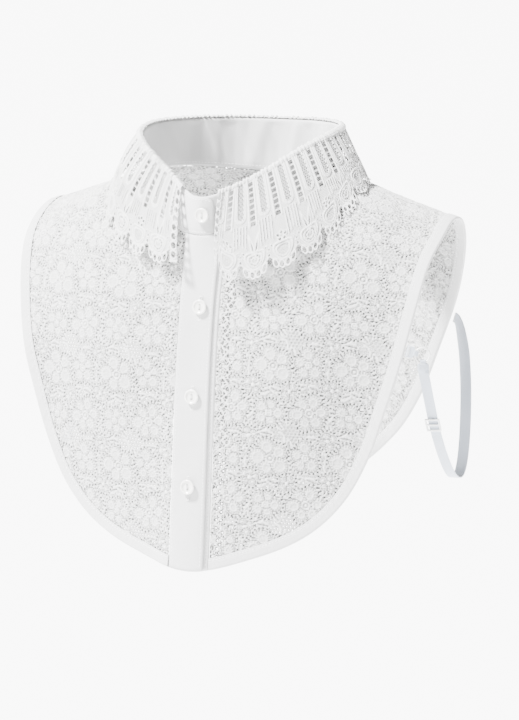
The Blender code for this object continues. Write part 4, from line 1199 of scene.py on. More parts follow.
def scatter_tree(kind):
    """Geometry nodes that put a ring or a stitch at every point, turned by the points' own axes."""
    tree = bpy.data.node_groups.new(f"{kind} at points", "GeometryNodeTree")
    face = tree.interface
    face.new_socket("Geometry", in_out="INPUT", socket_type="NodeSocketGeometry")
    for label in ("Length", "Width", "Height"):
        face.new_socket(label, in_out="INPUT", socket_type="NodeSocketFloat")
    face.new_socket("Material", in_out="INPUT", socket_type="NodeSocketMaterial")
    face.new_socket("Geometry", in_out="OUTPUT", socket_type="NodeSocketGeometry")
    given = tree.nodes.new("NodeGroupInput").outputs
    if kind == "ring":
        circle = node(tree, "GeometryNodeCurvePrimitiveCircle", {"Resolution": 18, "Radius": 0.5})
        wire = node(tree, "GeometryNodeCurvePrimitiveCircle", {"Resolution": 6, "Radius": given["Height"]})
        size = node(tree, "ShaderNodeCombineXYZ", {"X": given["Length"], "Y": given["Width"], "Z": 1.0})
        sized = node(tree, "GeometryNodeTransform", {"Geometry": circle.outputs["Curve"], "Scale": size.outputs[0]})
        shape = node(tree, "GeometryNodeCurveToMesh", {"Curve": sized.outputs[0], "Profile Curve": wire.outputs["Curve"]})
        shape = shape.outputs["Mesh"]
    else:
        ball = node(tree, "GeometryNodeMeshUVSphere", {"Segments": 6, "Rings": 4, "Radius": 0.5})
        size = node(tree, "ShaderNodeCombineXYZ", {"X": given["Length"], "Y": given["Width"], "Z": given["Height"]})
        shape = node(tree, "GeometryNodeTransform", {"Geometry": ball.outputs["Mesh"], "Scale": size.outputs[0]})
        shape = shape.outputs[0]
    axes = {}
    for key in ("up", "way", "size"):
        axes[key] = node(tree, "GeometryNodeInputNamedAttribute", {"Name": key},
                         data_type="FLOAT_VECTOR").outputs["Attribute"]
    turned = node(tree, "FunctionNodeAxesToRotation", {"Primary Axis": axes["up"], "Secondary Axis": axes["way"]},
                  primary_axis="Z", secondary_axis="X")
    placed = node(tree, "GeometryNodeInstanceOnPoints", {
        "Points": given["Geometry"], "Instance": shape, "Rotation": turned.outputs[0], "Scale": axes["size"]})
    real = node(tree, "GeometryNodeRealizeInstances", {"Geometry": placed.outputs[0]})
    smooth = node(tree, "GeometryNodeSetShadeSmooth", {"Geometry": real.outputs[0]})
    painted = node(tree, "GeometryNodeSetMaterial", {"Geometry": smooth.outputs[0], "Material": given["Material"]})
    out = tree.nodes.new("NodeGroupOutput")
    tree.links.new(painted.outputs[0], out.inputs["Geometry"])
    return tree


TREES = {}


def scatter(name, kind, points, up, way, size, shape, surface):
    """Rings or stitches at points, as one plain mesh. Shape is (length, width, height) in mm."""
    if kind not in TREES:
        TREES[kind] = scatter_tree(kind)
    tree = TREES[kind]
    points = np.asarray(points).reshape(-1, 3)
    size = np.broadcast_to(np.asarray(size, float), points.shape)
    mesh = bpy.data.meshes.new(f"{name}_places")
    mesh.from_pydata([tuple(p) for p in points * MM], [], [])
    for key, values in (("up", up), ("way", way), ("size", size)):
        layer = mesh.attributes.new(key, "FLOAT_VECTOR", "POINT")
        layer.data.foreach_set("vector", np.asarray(values, np.float32).reshape(-1, 3).ravel())
    places = bpy.data.objects.new(f"{name}_places", mesh)
    bpy.context.scene.collection.objects.link(places)
    nodes = places.modifiers.new("scatter", "NODES")
    nodes.node_group = tree
    values = dict(zip(("Length", "Width", "Height"), [v * MM for v in shape]), Material=surface)
    for item in tree.interface.items_tree:
        if item.in_out == "INPUT" and item.name in values:
            nodes[item.identifier] = values[item.name]
    bpy.context.view_layer.update()
    done = places.evaluated_get(bpy.context.evaluated_depsgraph_get())
    real = bpy.data.meshes.new_from_object(done)
    bpy.data.objects.remove(places, do_unlink=True)
    real.name = name
    if not real.materials:
        real.materials.append(surface)
    thing = bpy.data.objects.new(name, real)
    bpy.context.scene.collection.objects.link(thing)
    return thing


def joined(name, things):
    """Several mesh objects as one."""
    together = bmesh.new()
    for thing in things:
        together.from_mesh(thing.data)
    surface = things[0].data.materials[0]
    mesh = bpy.data.meshes.new(name)
    together.to_mesh(mesh)
    together.free()
    mesh.materials.append(surface)
    mesh.shade_smooth()
    for thing in things:
        bpy.data.objects.remove(thing, do_unlink=True)
    made = bpy.data.objects.new(name, mesh)
    bpy.context.scene.collection.objects.link(made)
    return made


def show(thing, slot, *nodes):
    """Fixes a piece to the collar and hides the solids it stands for; the slot, meant to name its finish, is not used.
    """
    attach(thing, "root")
    if nodes:
        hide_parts(*nodes)
    return thing


def along_path(points, pitch):
    """Evenly spaced places on a line of points, with the way the line runs."""
    steps = np.linalg.norm(np.diff(points, axis=0), axis=1)
    lengths = np.concatenate([[0], np.cumsum(steps)])
    count = max(int(lengths[-1] / pitch), 1)
    wanted = (np.arange(count) + 0.5) * lengths[-1] / count
    spots = np.stack([np.interp(wanted, lengths, points[:, k]) for k in range(3)], 1)
    ahead = np.stack([np.interp(wanted + 0.3, lengths, points[:, k]) for k in range(3)], 1)
    behind = np.stack([np.interp(wanted - 0.3, lengths, points[:, k]) for k in range(3)], 1)
    return spots, unit(ahead - behind), wanted, lengths


def stitch_line(name, points, ups, settings):
    """A row of short sewn stitches along a line on the cloth."""
    spots, ways, wanted, lengths = along_path(points, settings.stitch_pitch / MM)
    up = unit(np.stack([np.interp(wanted, lengths, ups[:, k]) for k in range(3)], 1))
    length = settings.stitch_pitch / MM * 0.78
    return scatter(name, "stitch", spots + up * 0.05, up, ways, (1, 1, 1), (length, 0.5, 0.42), finish("thread"))


class DickeySettings(bpy.types.PropertyGroup):
    """Sizes and colours that a user may change."""

    lace_pitch: bpy.props.FloatProperty(
        name="Bib lace mesh", description="Side of one cell of the bib lace", default=0.00066, min=0.0004,
        max=0.003, precision=5, unit="LENGTH")
    collar_pitch: bpy.props.FloatProperty(
        name="Collar lace mesh", description="Side of one cell of the collar lace", default=0.00058, min=0.0004,
        max=0.003, precision=5, unit="LENGTH")
    bib_relief: bpy.props.FloatProperty(
        name="Bib relief", description="How far the bib lace's cords are raised", default=0.85, min=0.0, max=2.0,
        subtype="FACTOR")
    collar_relief: bpy.props.FloatProperty(
        name="Collar relief", description="How far the collar lace's cords are raised", default=1.0, min=0.0,
        max=2.0, subtype="FACTOR")
    stitch_pitch: bpy.props.FloatProperty(
        name="Stitch", description="Length of one sewing stitch", default=0.0024, min=0.001, max=0.006,
        precision=4, unit="LENGTH")
    floor_colour: bpy.props.FloatVectorProperty(
        name="Floor", description="Colour of the studio floor", default=(0.98, 0.98, 0.98), min=0, max=1,
        subtype="COLOR")


class DICKEY_OT_bibs(bpy.types.Operator):
    """Lays the floral lace on both fronts and the back"""

    bl_idname = "dickey.bibs"
    bl_label = "Lace bibs"

    def execute(self, context):
        settings = context.scene.dickey
        pitch = settings.lace_pitch / MM * 1.0
        shoulder = lambda s: SHOULDER - 0.01 + 0 * s
        panels = [
            ("bib_lace_left", "front_left", Panel(left_start, shoulder, False, front_start), (3, 8), 1.0),
            ("bib_lace_right", "front_right", Panel(right_start, lambda s: -shoulder(s), True, front_start),
             (31, 20), 1.0),
            ("bib_lace_back", "back", Panel(lambda s: SHOULDER + 0.01 + 0 * s,
                                            lambda s: 2 * BACK - SHOULDER - 0.01 + 0 * s, False, back_start),
             (11, 40), 1.28),
        ]
        for name, solid_node, panel, offset, coarser in panels:
            x, y, point, normal, within = panel.laid(pitch * coarser)
            lace = floral_lace(x + offset[0], y + offset[1])
            if solid_node == "front_left":
                self.open_net(lace, x, y)
            edge = np.minimum(within, 6.0)
            lace.solid = np.where(edge < 1.6, np.minimum(edge, np.maximum(lace.solid, 1.6 - edge)), lace.solid)
            height = lace.height * settings.bib_relief - 0.2
            made = lace_object(name, x, y, point, normal, lace.solid, height, finish("bib_lace"))
            show(made, "floral_lace", solid_node)
            width, length, area = panel.cut_size()
            print(f"{name}: cut {width:.3f} x {length:.3f} m, {area:.4f} m2, {len(made.data.polygons)} cells")
        return {"FINISHED"}

    def open_net(self, lace, x, y):
        """A wavering column of open net beside the placket, crossed by zigzag threads. Its cells are sunk deep round
        small cut holes and painted dark as shade.
        """
        middle = OPEN_NET_PLACE + 1.3 * np.sin(y / 8.5) + 0.8 * np.sin(y / 3.7 + 1)
        strip = OPEN_NET_HALF - np.abs(x - middle)
        bar = net(x, y, OPEN_NET_PITCH, 0.9)
        lace.cover(strip, bar + 0.5, np.where(bar > 0, 0.5, -1.6))
        zig = np.abs(np.abs(wrapped(y, 7.0)) * 1.15 - 2.0 - (x - middle)) * 0.7
        lace.lay(np.where(strip > 0, 0.45 - zig, -1), 0.9 * ridge(zig, 1.1))


class DICKEY_OT_fall(bpy.types.Operator):
    """Makes the scalloped lace fall of the collar"""

    bl_idname = "dickey.fall"
    bl_label = "Collar fall"

    def execute(self, context):
        settings = context.scene.dickey
        pitch = settings.collar_pitch / MM * 1.0
        fall = Fall()
        columns = int(fall.total / pitch)
        along = np.linspace(0, fall.total, columns)
        section = fall.column(along)
        longest = section["length"].max() + SCALLOP_DEPTH / 2 + 0.5
        depths = np.arange(0, longest, pitch)
        turn_rows = np.linspace(0, 3, 9)[:-1]
        control = section["turned"] + [fall_run(section, np.full(columns, 2.0))]
        control = np.stack(control)
        turned = np.stack([curve(control.reshape(4, -1), place).reshape(columns, 3) for place in turn_rows * 2 / 3])
        stretch = section["length"] / section["length"].max()
        depth = depths[:, None] * np.maximum(stretch, 0.72)[None, :] * 1.12
        wide = {key: np.broadcast_to(value[None], (len(depths),) + value.shape) for key, value in section.items()
                if key != "turned"}
        wide["turned"] = [np.broadcast_to(p[None], (len(depths), columns, 3)) for p in section["turned"]]
        hanging = rested(fall.tree, fall_run(wide, depth), wide["run"])
        points = np.concatenate([turned, hanging])
        depth = np.concatenate([np.repeat((turn_rows - 3)[:, None], columns, 1), depth])
        along = np.broadcast_to(along[None], depth.shape)
        length = np.broadcast_to(section["length"][None], depth.shape)
        edge_depth = fall.edge_depth(along, length)
        roll = section["turned"][-1]
        roll_step = np.linalg.norm(np.gradient(roll, axis=0), axis=1)
        edge_step = fall.total / columns
        top_share = np.clip(roll_step / edge_step, 0.5, 1.1)[None]
        lace = collar_lace(fall, along, depth, length, edge_depth, top_share)
        normal = local_frame(points)[2]
        toward = points[len(turn_rows) + 20] - np.array([0, 0, 30.0])
        if np.mean(np.sum(normal[len(turn_rows) + 20] * toward, -1)) < 0:
            normal = -normal
        bumps = 0.9 * np.abs(np.sin(along * np.pi / 4.2)) * (depth < 0.5)
        height = lace.height * settings.collar_relief - 0.35 + bumps
        made = lace_object("collar_lace", along, -depth, points, normal, lace.solid, height, finish("collar_lace"))
        show(made, "scalloped_lace", "collar_fall")
        return {"FINISHED"}


def soft_wall(middle, normal, thick, across_edges, round_over):
    """The two faces of a folded cotton strip whose long edges are rounded. Across_edges holds each
    point's distance from the nearer edge."""
    bite = np.clip(1 - across_edges / round_over, 0, 1)
    half = (thick / 2 * np.sqrt(np.clip(1 - bite * bite, 0.04, 1)))[..., None]
    return middle + normal * half, middle - normal * half


class DICKEY_OT_stand(bpy.types.Operator):
    """Makes the cotton stand with its soft creases and its seams"""

    bl_idname = "dickey.stand"
    bl_label = "Collar stand"

    def execute(self, context):
        settings = context.scene.dickey
        columns, rows = 400, 28
        whole = STAND_OVER_END - (STAND_UNDER_END - 360)
        swing = np.linspace(0, whole, columns)
        angle = STAND_OVER_END - swing
        foot, top = neck_seam(angle), stand_top(angle)
        foot[:, 2] += SEAM_GAP
        top[:, 2] += STAND_TOP_ROUND
        from_end = np.radians(np.minimum(swing, whole - swing)) * NECK_RADIUS
        bite = np.clip(1 - from_end / STAND_CORNER, 0, 1)
        drop = STAND_CORNER * (1 - np.sqrt(1 - bite * bite)) / (top[:, 2] - foot[:, 2])
        top = top + (foot - top) * drop[:, None]
        out = radial(angle) * stand_out(angle)[:, None]
        share = np.linspace(0, 1, rows)[:, None]
        middle = foot + (top - foot) * share[..., None] + out
        normal = unit(np.cross(np.gradient(middle, axis=1), np.gradient(middle, axis=0)))
        if np.mean(np.sum(normal * radial(angle)[None], -1)) < 0:
            normal = -normal
        height = np.linalg.norm(top - foot, axis=1)[None]
        edges = np.minimum(np.minimum(share, 1 - share) * height, from_end[None] + 0.02)
        push = np.zeros(middle.shape[:2])
        round_angle = angle % 360
        for crease in STAND_CREASES:
            off = (wrapped(round_angle[None] - crease.angle, 360) - crease.slant * (share - crease.place)) * 1.15
            fade = np.exp(-((share - crease.place) / (0.5 * crease.reach)) ** 4)
            push += 1.7 * crease.depth * np.exp(-(off / crease.width) ** 2) * fade
        push += 0.12 * np.sin(round_angle[None] * 0.9) * np.sin(share * 5)
        seam = 0.28 * ridge((share * height) - 2.2, 1.4)
        middle = middle + normal * (push * np.minimum(edges / 4, 1))[..., None]
        outer, inner = soft_wall(middle, normal, COTTON, edges, 1.0)
        outer = outer - normal * seam[..., None]
        inner = inner + normal * seam[..., None]
        points, polygons = wall(outer, inner)
        made = show(make_object("stand_cotton", points, [p[:, ::-1] for p in polygons], finish("cotton")), "cotton",
                    "collar_stand")
        lines = []
        keep = slice(4, -4)
        at = int(round(2.2 / float(height.mean()) * (rows - 1)))
        for face, ups in ((outer, normal), (inner, -normal)):
            lines.append(stitch_line("seam", face[max(at, 1)][keep], ups[max(at, 1)][keep], settings))
        front = (angle > -30) | (angle < -330)
        upper = outer[-3][front][2:40]
        lines.append(stitch_line("seam", upper, normal[-3][front][2:40], settings))
        seams = show(joined("stand_stitches", lines), "cotton")
        return {"FINISHED"}


class DICKEY_OT_plackets(bpy.types.Operator):
    """Makes the two cotton plackets, their stitching and the buttonholes"""

    bl_idname = "dickey.plackets"
    bl_label = "Plackets"

    def execute(self, context):
        settings = context.scene.dickey
        half = PLACKET_WIDTH / 2
        strips = [
            ("placket_upper", "placket_over", -half, half, LAP),
            ("placket_lower", "placket_under", -PLACKET_UNDER_START, half + PLACKET_REVEAL, 0.0),
        ]
        for name, solid_node, start, end, lift in strips:
            columns, rows = 26, 150
            top = float(neck_margin(np.array(0.0)))
            s = np.linspace(top, 1.0, rows)[:, None]
            offset = np.linspace(start, end, columns)[None, :]
            x = placket_centre(s) + offset
            t = station_at_x(x, s + 0 * x)
            normal = bib_normal(t, s + 0 * x)
            middle = bib_point(t, s + 0 * x) + normal * lift
            push = np.zeros(middle.shape[:2])
            for pucker in PLACKET_PUCKERS:
                off = middle[..., 2] - pucker.height - pucker.slope * offset
                push += pucker.depth * np.exp(-(off / pucker.width) ** 2) * (0.5 + 0.5 * np.cos(offset / 9))
            edges = np.minimum(np.minimum(offset - start, end - offset), (1 - s) * 227 + 0 * offset)
            seam = sum(0.22 * ridge(side, 1.3) for side in (offset - start - 2.2, end - offset - 2.2)) + 0 * s
            middle = middle + normal * (push * np.minimum(edges / 5, 1) * (0.55 if lift else 0.2))[..., None]
            outer, inner = soft_wall(middle, normal, COTTON, edges, 0.9)
            outer = outer - normal * seam[..., None]
            points, polygons = wall(outer, inner)
            made = show(make_object(name, points, [p[:, ::-1] for p in polygons], finish("cotton")), "cotton", solid_node)
            lines = []
            for place in (2.2, end - start - 2.2):
                column = int(round(place / (end - start) * (columns - 1)))
                if lift or place > 5:
                    lines.append(stitch_line("seam", outer[2:-2, column], normal[2:-2, column], settings))
            extras = [show(joined(f"{name}_stitches", lines), "cotton")]
            if lift:
                extras.append(show(self.buttonholes(), "cotton"))
        return {"FINISHED"}

    def buttonholes(self):
        """Satin bars round an upright slit behind each of the lower three buttons."""
        places, ups, ways, sizes = [], [], [], []
        for sewn in BUTTONS[1:]:
            for k in range(25):
                for side in (-1, 1):
                    height = sewn.height + (k / 24 - 0.5) * 15.0 - 1.0
                    seat, up, right = seat_on_placket(height, sewn.across + side * 0.75)
                    places.append(seat + up * (COTTON / 2 + 0.05))
                    ups.append(up)
                    ways.append(right)
                    sizes.append((1.0, 1.0, 1.0))
            for end in (-1, 1):
                seat, up, right = seat_on_placket(sewn.height + end * 7.9 - 1.0, sewn.across)
                places.append(seat + up * (COTTON / 2 + 0.1))
                ups.append(up)
                ways.append(right)
                sizes.append((2.1, 1.6, 1.2))
        return scatter("buttonhole_stitches", "stitch", places, ups, ways, np.array(sizes), (1.5, 0.62, 0.5),
                       finish("thread"))


def seat_on_placket(height, across):
    """A point on the upper placket's middle layer at a height, with the way out and to the side."""
    shares = np.linspace(0, 1, 400)
    s = float(np.interp(-height, -bib_point(np.zeros(400), shares)[:, 2], shares))
    t = float(station_at_x(placket_centre(s) + across, s))
    up = bib_normal(np.array(t), np.array(s))
    along = bib_slopes(np.array(t), np.array(s))[0]
    return bib_point(t, s) + up * LAP, up, unit(along)


class DICKEY_OT_binding(bpy.types.Operator):
    """Folds the cotton tape over the outer edge"""

    bl_idname = "dickey.binding"
    bl_label = "Edge binding"

    def execute(self, context):
        settings = context.scene.dickey
        columns = 720
        start, end = float(left_start(1.0)), 2 * BACK + float(right_start(1.0))
        t = np.linspace(start, end, columns)
        margin = edge_margin(t, 1.0)
        edge = bib_point(t, np.ones_like(t))
        run = np.concatenate([[0], np.cumsum(np.linalg.norm(np.diff(edge, axis=0), axis=1))])
        half = TAPE / 2
        profile = []
        flat = BINDING_WIDTH - half
        for k in range(9):
            profile.append((BINDING_WIDTH - flat * k / 8, half if k else half * 0.62))
        for k in range(1, 8):
            turn = math.pi * k / 8
            profile.append((half - half * math.sin(turn), half * math.cos(turn)))
        for k in range(9):
            profile.append((half + flat * k / 8, -half if k < 8 else -half * 0.62))
        rows = []
        for inset, lift in profile:
            s = 1 - margin * inset
            ramp = np.where(t > BACK, 1, 0)
            point, normal = bib_point(t, s), bib_normal(t, s)
            out = lap_out(point[:, 0], s) * ramp
            ripple = 0.16 * np.sin(run * 2 * np.pi / 5.3 + 1.3 * np.sin(run / 23)) * np.clip((inset - 1) / 6, 0, 1)
            pinch = 0.35 * ridge(np.array(inset - 6.4), 1.6)
            rows.append(point + normal * (out + (lift - np.sign(lift) * pinch) + np.sign(lift) * ripple)[:, None])
        points = np.stack(rows)
        quads = grid_quads(len(rows), columns)
        made = make_object("binding_tape", points.reshape(-1, 3), [quads], finish("tape"))
        show(made, "cotton", "binding")
        lines = []
        for row, sign in ((2, 1), (len(rows) - 3, -1)):
            normal = bib_normal(t, 1 - margin * 6.4) * sign
            lines.append(stitch_line("seam", points[row] + normal * 0.05, normal, settings))
        seams = show(joined("binding_stitches", lines), "cotton")
        return {"FINISHED"}


class DICKEY_OT_buttons(bpy.types.Operator):
    """Turns the four buttons and sews them on"""

    bl_idname = "dickey.buttons"
    bl_label = "Buttons"

    def execute(self, context):
        for sewn in BUTTONS:
            seat, up, right = self.seat(sewn)
            frame_matrix = np.stack([right, unit(np.cross(up, right)), up], 1)
            made = self.turned(f"{sewn.node}_pearl")
            spin = Matrix([list(row) for row in frame_matrix]).to_4x4()
            made.data.transform(Matrix.Translation(Vector(seat * MM)) @ spin)
            show(made, "button_plastic", sewn.node)
            spots = [seat + up * (1.45 + 0.12 * abs(k)) + frame_matrix[:, 0] * 0.32 * k for k in (-1, 0, 1)]
            thread = scatter(f"{sewn.node}_thread", "stitch", spots, [up] * 3, [frame_matrix[:, 1]] * 3, (1, 1, 1),
                             (BUTTON_HOLE_SPACING * 2 + 0.9, 0.42, 0.55), finish("thread"))
            show(thread, "cotton")
        return {"FINISHED"}

    def seat(self, sewn):
        """Where a button's underside lies, the way it faces and its level axis."""
        lift = COTTON / 2 + BUTTON_SINK
        if sewn.height < 0:
            seat, up, right = seat_on_placket(sewn.height, sewn.across)
            level = unit(np.cross(np.array([0.0, 0.0, 1.0]), up))
            return seat + up * lift, up, level
        foot, top = neck_seam(0.0), stand_top(0.0)
        rise = unit(top - foot)
        seat = foot + (top - foot) * ((sewn.height - foot[2]) / (top[2] - foot[2]))
        up = np.cross(np.array([1.0, 0.0, 0.0]), rise)
        up = -up if up[1] > 0 else up
        seat = seat + np.array([sewn.across, 0.0, 0.0])
        return seat + up * (LAP + lift + BUTTON_SINK), up, np.array([1.0, 0.0, 0.0])

    def turned(self, name):
        """A turned button with two holes, facing +Z."""
        mesh = bpy.data.meshes.new(name)
        profile = bmesh.new()
        verts = [profile.verts.new((p.radius * MM, 0, p.height * MM)) for p in BUTTON_PROFILE]
        for a, b in zip(verts, verts[1:]):
            profile.edges.new((a, b))
        profile.to_mesh(mesh)
        profile.free()
        button = bpy.data.objects.new(name, mesh)
        bpy.context.scene.collection.objects.link(button)
        screw = button.modifiers.new("turned", "SCREW")
        screw.steps = screw.render_steps = 56
        screw.use_merge_vertices = True
        screw.merge_threshold = 0.01 * MM
        cutters = []
        for sign in (-1, 1):
            cutter = bpy.data.meshes.new(f"{name}_hole")
            hole = bmesh.new()
            bmesh.ops.create_cone(hole, cap_ends=True, segments=20, radius1=BUTTON_HOLE * MM,
                                  radius2=BUTTON_HOLE * MM, depth=8 * MM)
            bmesh.ops.translate(hole, verts=hole.verts, vec=(0, sign * BUTTON_HOLE_SPACING * MM, 0))
            hole.to_mesh(cutter)
            hole.free()
            tool = bpy.data.objects.new(f"{name}_hole_{sign}", cutter)
            bpy.context.scene.collection.objects.link(tool)
            cut = button.modifiers.new("hole", "BOOLEAN")
            cut.operation = "DIFFERENCE"
            cut.object = tool
            cutters.append(tool)
        bpy.context.view_layer.update()
        done = button.evaluated_get(bpy.context.evaluated_depsgraph_get())
        real = bpy.data.meshes.new_from_object(done)
        for thing in cutters + [button]:
            bpy.data.objects.remove(thing, do_unlink=True)
        real.name = name
        real.materials.clear()
        real.materials.append(finish("button"))
        real.shade_smooth()
        real.set_sharp_from_angle(angle=math.radians(38))
        made = bpy.data.objects.new(name, real)
        bpy.context.scene.collection.objects.link(made)
        return made


def strap_line(path, count):
    """Places down a strap's path with the directions it runs and of its width."""
    row = curve(np.array(path, float), np.linspace(0, len(path) - 1, count))
    point = row[:, :3]
    ahead = unit(np.gradient(point, axis=0))
    turn, rise = np.radians(row[:, 3]), np.radians(row[:, 4])
    across = np.stack([np.cos(turn) * np.cos(rise), np.sin(turn) * np.cos(rise), np.sin(rise)], -1)
    across = unit(across - ahead * np.sum(across * ahead, -1, keepdims=True))
    return point, ahead, across


def band(name, middle, across, width, surface, ribs=11):
    """A flat band with rounded edges and a rib of each knitted cord along it."""
    middle, across = np.asarray(middle), np.asarray(across)
    face = unit(np.cross(across, unit(np.gradient(middle, axis=0))))
    place = np.linspace(-0.5, 0.5, 3 * ribs + 1)
    width = np.broadcast_to(np.asarray(width, float), (len(middle),))
    line = middle[None] + across[None] * (place[:, None] * width[None])[..., None]
    edges = (0.5 - np.abs(place))[:, None] * width[None]
    rib = 0.07 * np.cos(place * 2 * np.pi * ribs)[:, None] + 0 * edges
    outer, inner = soft_wall(line, face[None], ELASTIC * 0.9, edges, 0.5)
    outer = outer + face[None] * rib[..., None]
    inner = inner - face[None] * rib[..., None]
    points, polygons = wall(outer, inner)
    return make_object(name, points, polygons, surface)


class DICKEY_OT_straps(bpy.types.Operator):
    """Makes the elastic straps with their rings, tabs and sliders"""

    bl_idname = "dickey.straps"
    bl_label = "Straps"

    def execute(self, context):
        for side in SIDES:
            self.strap(side)
        return {"FINISHED"}

    def strap(self, side):
        """One side's tab, ring, strap, slider and tacking thread."""
        tie = bib_point(FRONT_TIE, 1.0)
        edge_way = unit(bib_slopes(np.array(FRONT_TIE), np.array(1.0))[0])
        toward = np.array(side.ring) - tie
        distance = np.linalg.norm(toward)
        toward = unit(toward - edge_way * np.dot(toward, edge_way))
        middle = tie + toward * distance
        face = unit(np.cross(edge_way, toward))
        reach = math.sqrt(RING_RADIUS ** 2 - (FOLD_WIDTH / 2) ** 2) - RING_WIRE - SEAM_GAP - ELASTIC / 2
        folded, wide = self.fold(middle, reach, FOLD_LAYER, distance - reach - side.tab_start, toward, face)
        tab = band("tab", folded, np.broadcast_to(edge_way, folded.shape), FOLD_WIDTH + (TAB_WIDTH - FOLD_WIDTH) * wide,
                   finish("elastic"), 9)
        point, ahead, across = strap_line(side.path, 110)
        hang = middle - point[-1]
        hang = unit(hang - face * np.dot(hang, face))
        hang_across = unit(np.cross(hang, face))
        if np.dot(hang_across, across[-1]) < 0:
            hang_across = -hang_across
        over, wide = self.fold(middle, reach, FOLD_LAYER, FOLD_TAIL, hang, face)
        middles = np.concatenate([point[:-3], over])
        acrosses = np.concatenate([across[:-3], np.broadcast_to(hang_across, over.shape)])
        widths = np.concatenate([np.full(len(point) - 3, STRAP_WIDTH), FOLD_WIDTH + (STRAP_WIDTH - FOLD_WIDTH) * wide])
        pieces = [
            (tab, "strap_tab", "elastic"),
            (band("strap", middles, acrosses, widths, finish("elastic")), "strap", "elastic"),
            (self.ring(middle, toward, edge_way), "strap_ring", "coated_wire"),
            (self.slider(side), "strap_slider", "coated_wire"),
            (self.tacks(point, ahead, across, tie, toward, edge_way, face), "strap_tack", "cotton"),
        ]
        for piece, name, slot in pieces:
            if side.name == "right":
                piece.data.transform(Matrix.Scale(-1, 4, (1, 0, 0)))
                piece.data.flip_normals()
            piece.name = f"{name}_{side.name}_looks"
            show(piece, slot, *([] if name == "strap_tack" else [f"{name}_{side.name}"]))
        length = float(np.linalg.norm(np.diff(middles, axis=0), axis=1).sum())
        print(f"strap {side.name}: {length:.0f} mm")

    def fold(self, middle, reach, layer, tail, direction, outward):
        """A band's middle line that runs to the ring, round its wire and back."""
        half = RING_WIRE + SEAM_GAP + ELASTIC / 2
        tip = middle - direction * reach
        shape = np.array([
            (tail, layer, 1.0), (tail * 0.45, (layer + half) / 2, 0.85), (2.6, half, 0.0), (0.9, half, 0.0),
            (0.2, half * 0.72, 0.0), (0.0, 0.0, 0.0), (0.2, -half * 0.72, 0.0), (0.9, -half, 0.0),
            (2.6, -half, 0.0), (tail * 0.45, -(layer + half) / 2, 0.85), (tail, -layer, 1.0)])
        fine = curve(shape, np.linspace(0, len(shape) - 1, 61))
        wide = np.clip(fine[:, 2], 0, 1)
        return tip - direction * fine[:, 0:1] + outward * fine[:, 1:2], wide

    def ring(self, middle, toward, edge_way):
        """The coated wire ring."""
        bpy.ops.mesh.primitive_torus_add(major_segments=64, minor_segments=18, major_radius=RING_RADIUS * MM,
                                         minor_radius=RING_WIRE * MM)
        made = bpy.context.object
        spin = Matrix([list(row) for row in np.stack([toward, edge_way, unit(np.cross(toward, edge_way))], 1)])
        made.data.transform(Matrix.Translation(Vector(middle * MM)) @ spin.to_4x4())
        made.data.materials.append(finish("coated"))
        made.data.shade_smooth()
        made.matrix_world = Matrix.Identity(4)
        return made

    def slider(self, side):
        """A rounded frame with a middle bar, on the strap's outer face."""
        point, ahead, across = strap_line(side.path, 1001)
        k = int(SLIDER_PLACE * 1000)
        out = unit(np.cross(across[k], ahead[k]))
        out = -out if out[1] > 0 else out
        seat = point[k] + out * (ELASTIC / 2 + SLIDER_GAP + SLIDER_THICK / 2)
        wide, tall = SLIDER
        window = (tall - 3 * SLIDER_BAR) / 2
        xs = [-wide / 2, -wide / 2 + SLIDER_BAR, wide / 2 - SLIDER_BAR, wide / 2]
        ys = np.cumsum([-tall / 2, SLIDER_BAR, window, SLIDER_BAR, window, SLIDER_BAR])
        shape = bmesh.new()
        verts = [[shape.verts.new((x * MM, y * MM, 0)) for x in xs] for y in ys]
        for i in range(5):
            for j in range(3):
                if j != 1 or i not in (1, 3):
                    shape.faces.new((verts[i][j], verts[i][j + 1], verts[i + 1][j + 1], verts[i + 1][j]))
        mesh = bpy.data.meshes.new("slider")
        shape.to_mesh(mesh)
        shape.free()
        rough = bpy.data.objects.new("slider_rough", mesh)
        bpy.context.scene.collection.objects.link(rough)
        wall_up = rough.modifiers.new("wall", "SOLIDIFY")
        wall_up.thickness = SLIDER_THICK * MM
        wall_up.offset = 0.0
        bevel = rough.modifiers.new("bevel", "BEVEL")
        bevel.width = 0.42 * MM
        bevel.segments = 4
        bevel.limit_method = "ANGLE"
        bpy.context.view_layer.update()
        real = bpy.data.meshes.new_from_object(rough.evaluated_get(bpy.context.evaluated_depsgraph_get()))
        bpy.data.objects.remove(rough, do_unlink=True)
        spin = Matrix([list(row) for row in np.stack([across[k], ahead[k], np.cross(across[k], ahead[k])], 1)])
        real.transform(Matrix.Translation(Vector(seat * MM)) @ spin.to_4x4())
        real.materials.clear()
        real.materials.append(finish("coated"))
        real.shade_smooth()
        real.set_sharp_from_angle(angle=math.radians(50))
        made = bpy.data.objects.new("slider", real)
        bpy.context.scene.collection.objects.link(made)
        return made

    def tacks(self, point, ahead, across, tie, toward, edge_way, face):
        """Bars of thread that hold the strap and the tab to the binding."""
        places, ups, ways = [], [], []
        out = unit(np.cross(across, ahead))
        for offset in np.linspace(-3.0, 3.0, 7):
            for sign in (-1, 1):
                places.append(point[2] + across[2] * offset + out[2] * sign * 0.55)
                ups.append(out[2] * sign)
                ways.append(ahead[2])
                places.append(tie + toward * 2.4 + edge_way * offset + face * sign * 1.25)
                ups.append(face * sign)
                ways.append(toward)
        return scatter("tack", "stitch", places, ups, ways, (1, 1, 1), (2.0, 0.5, 0.45), finish("thread"))


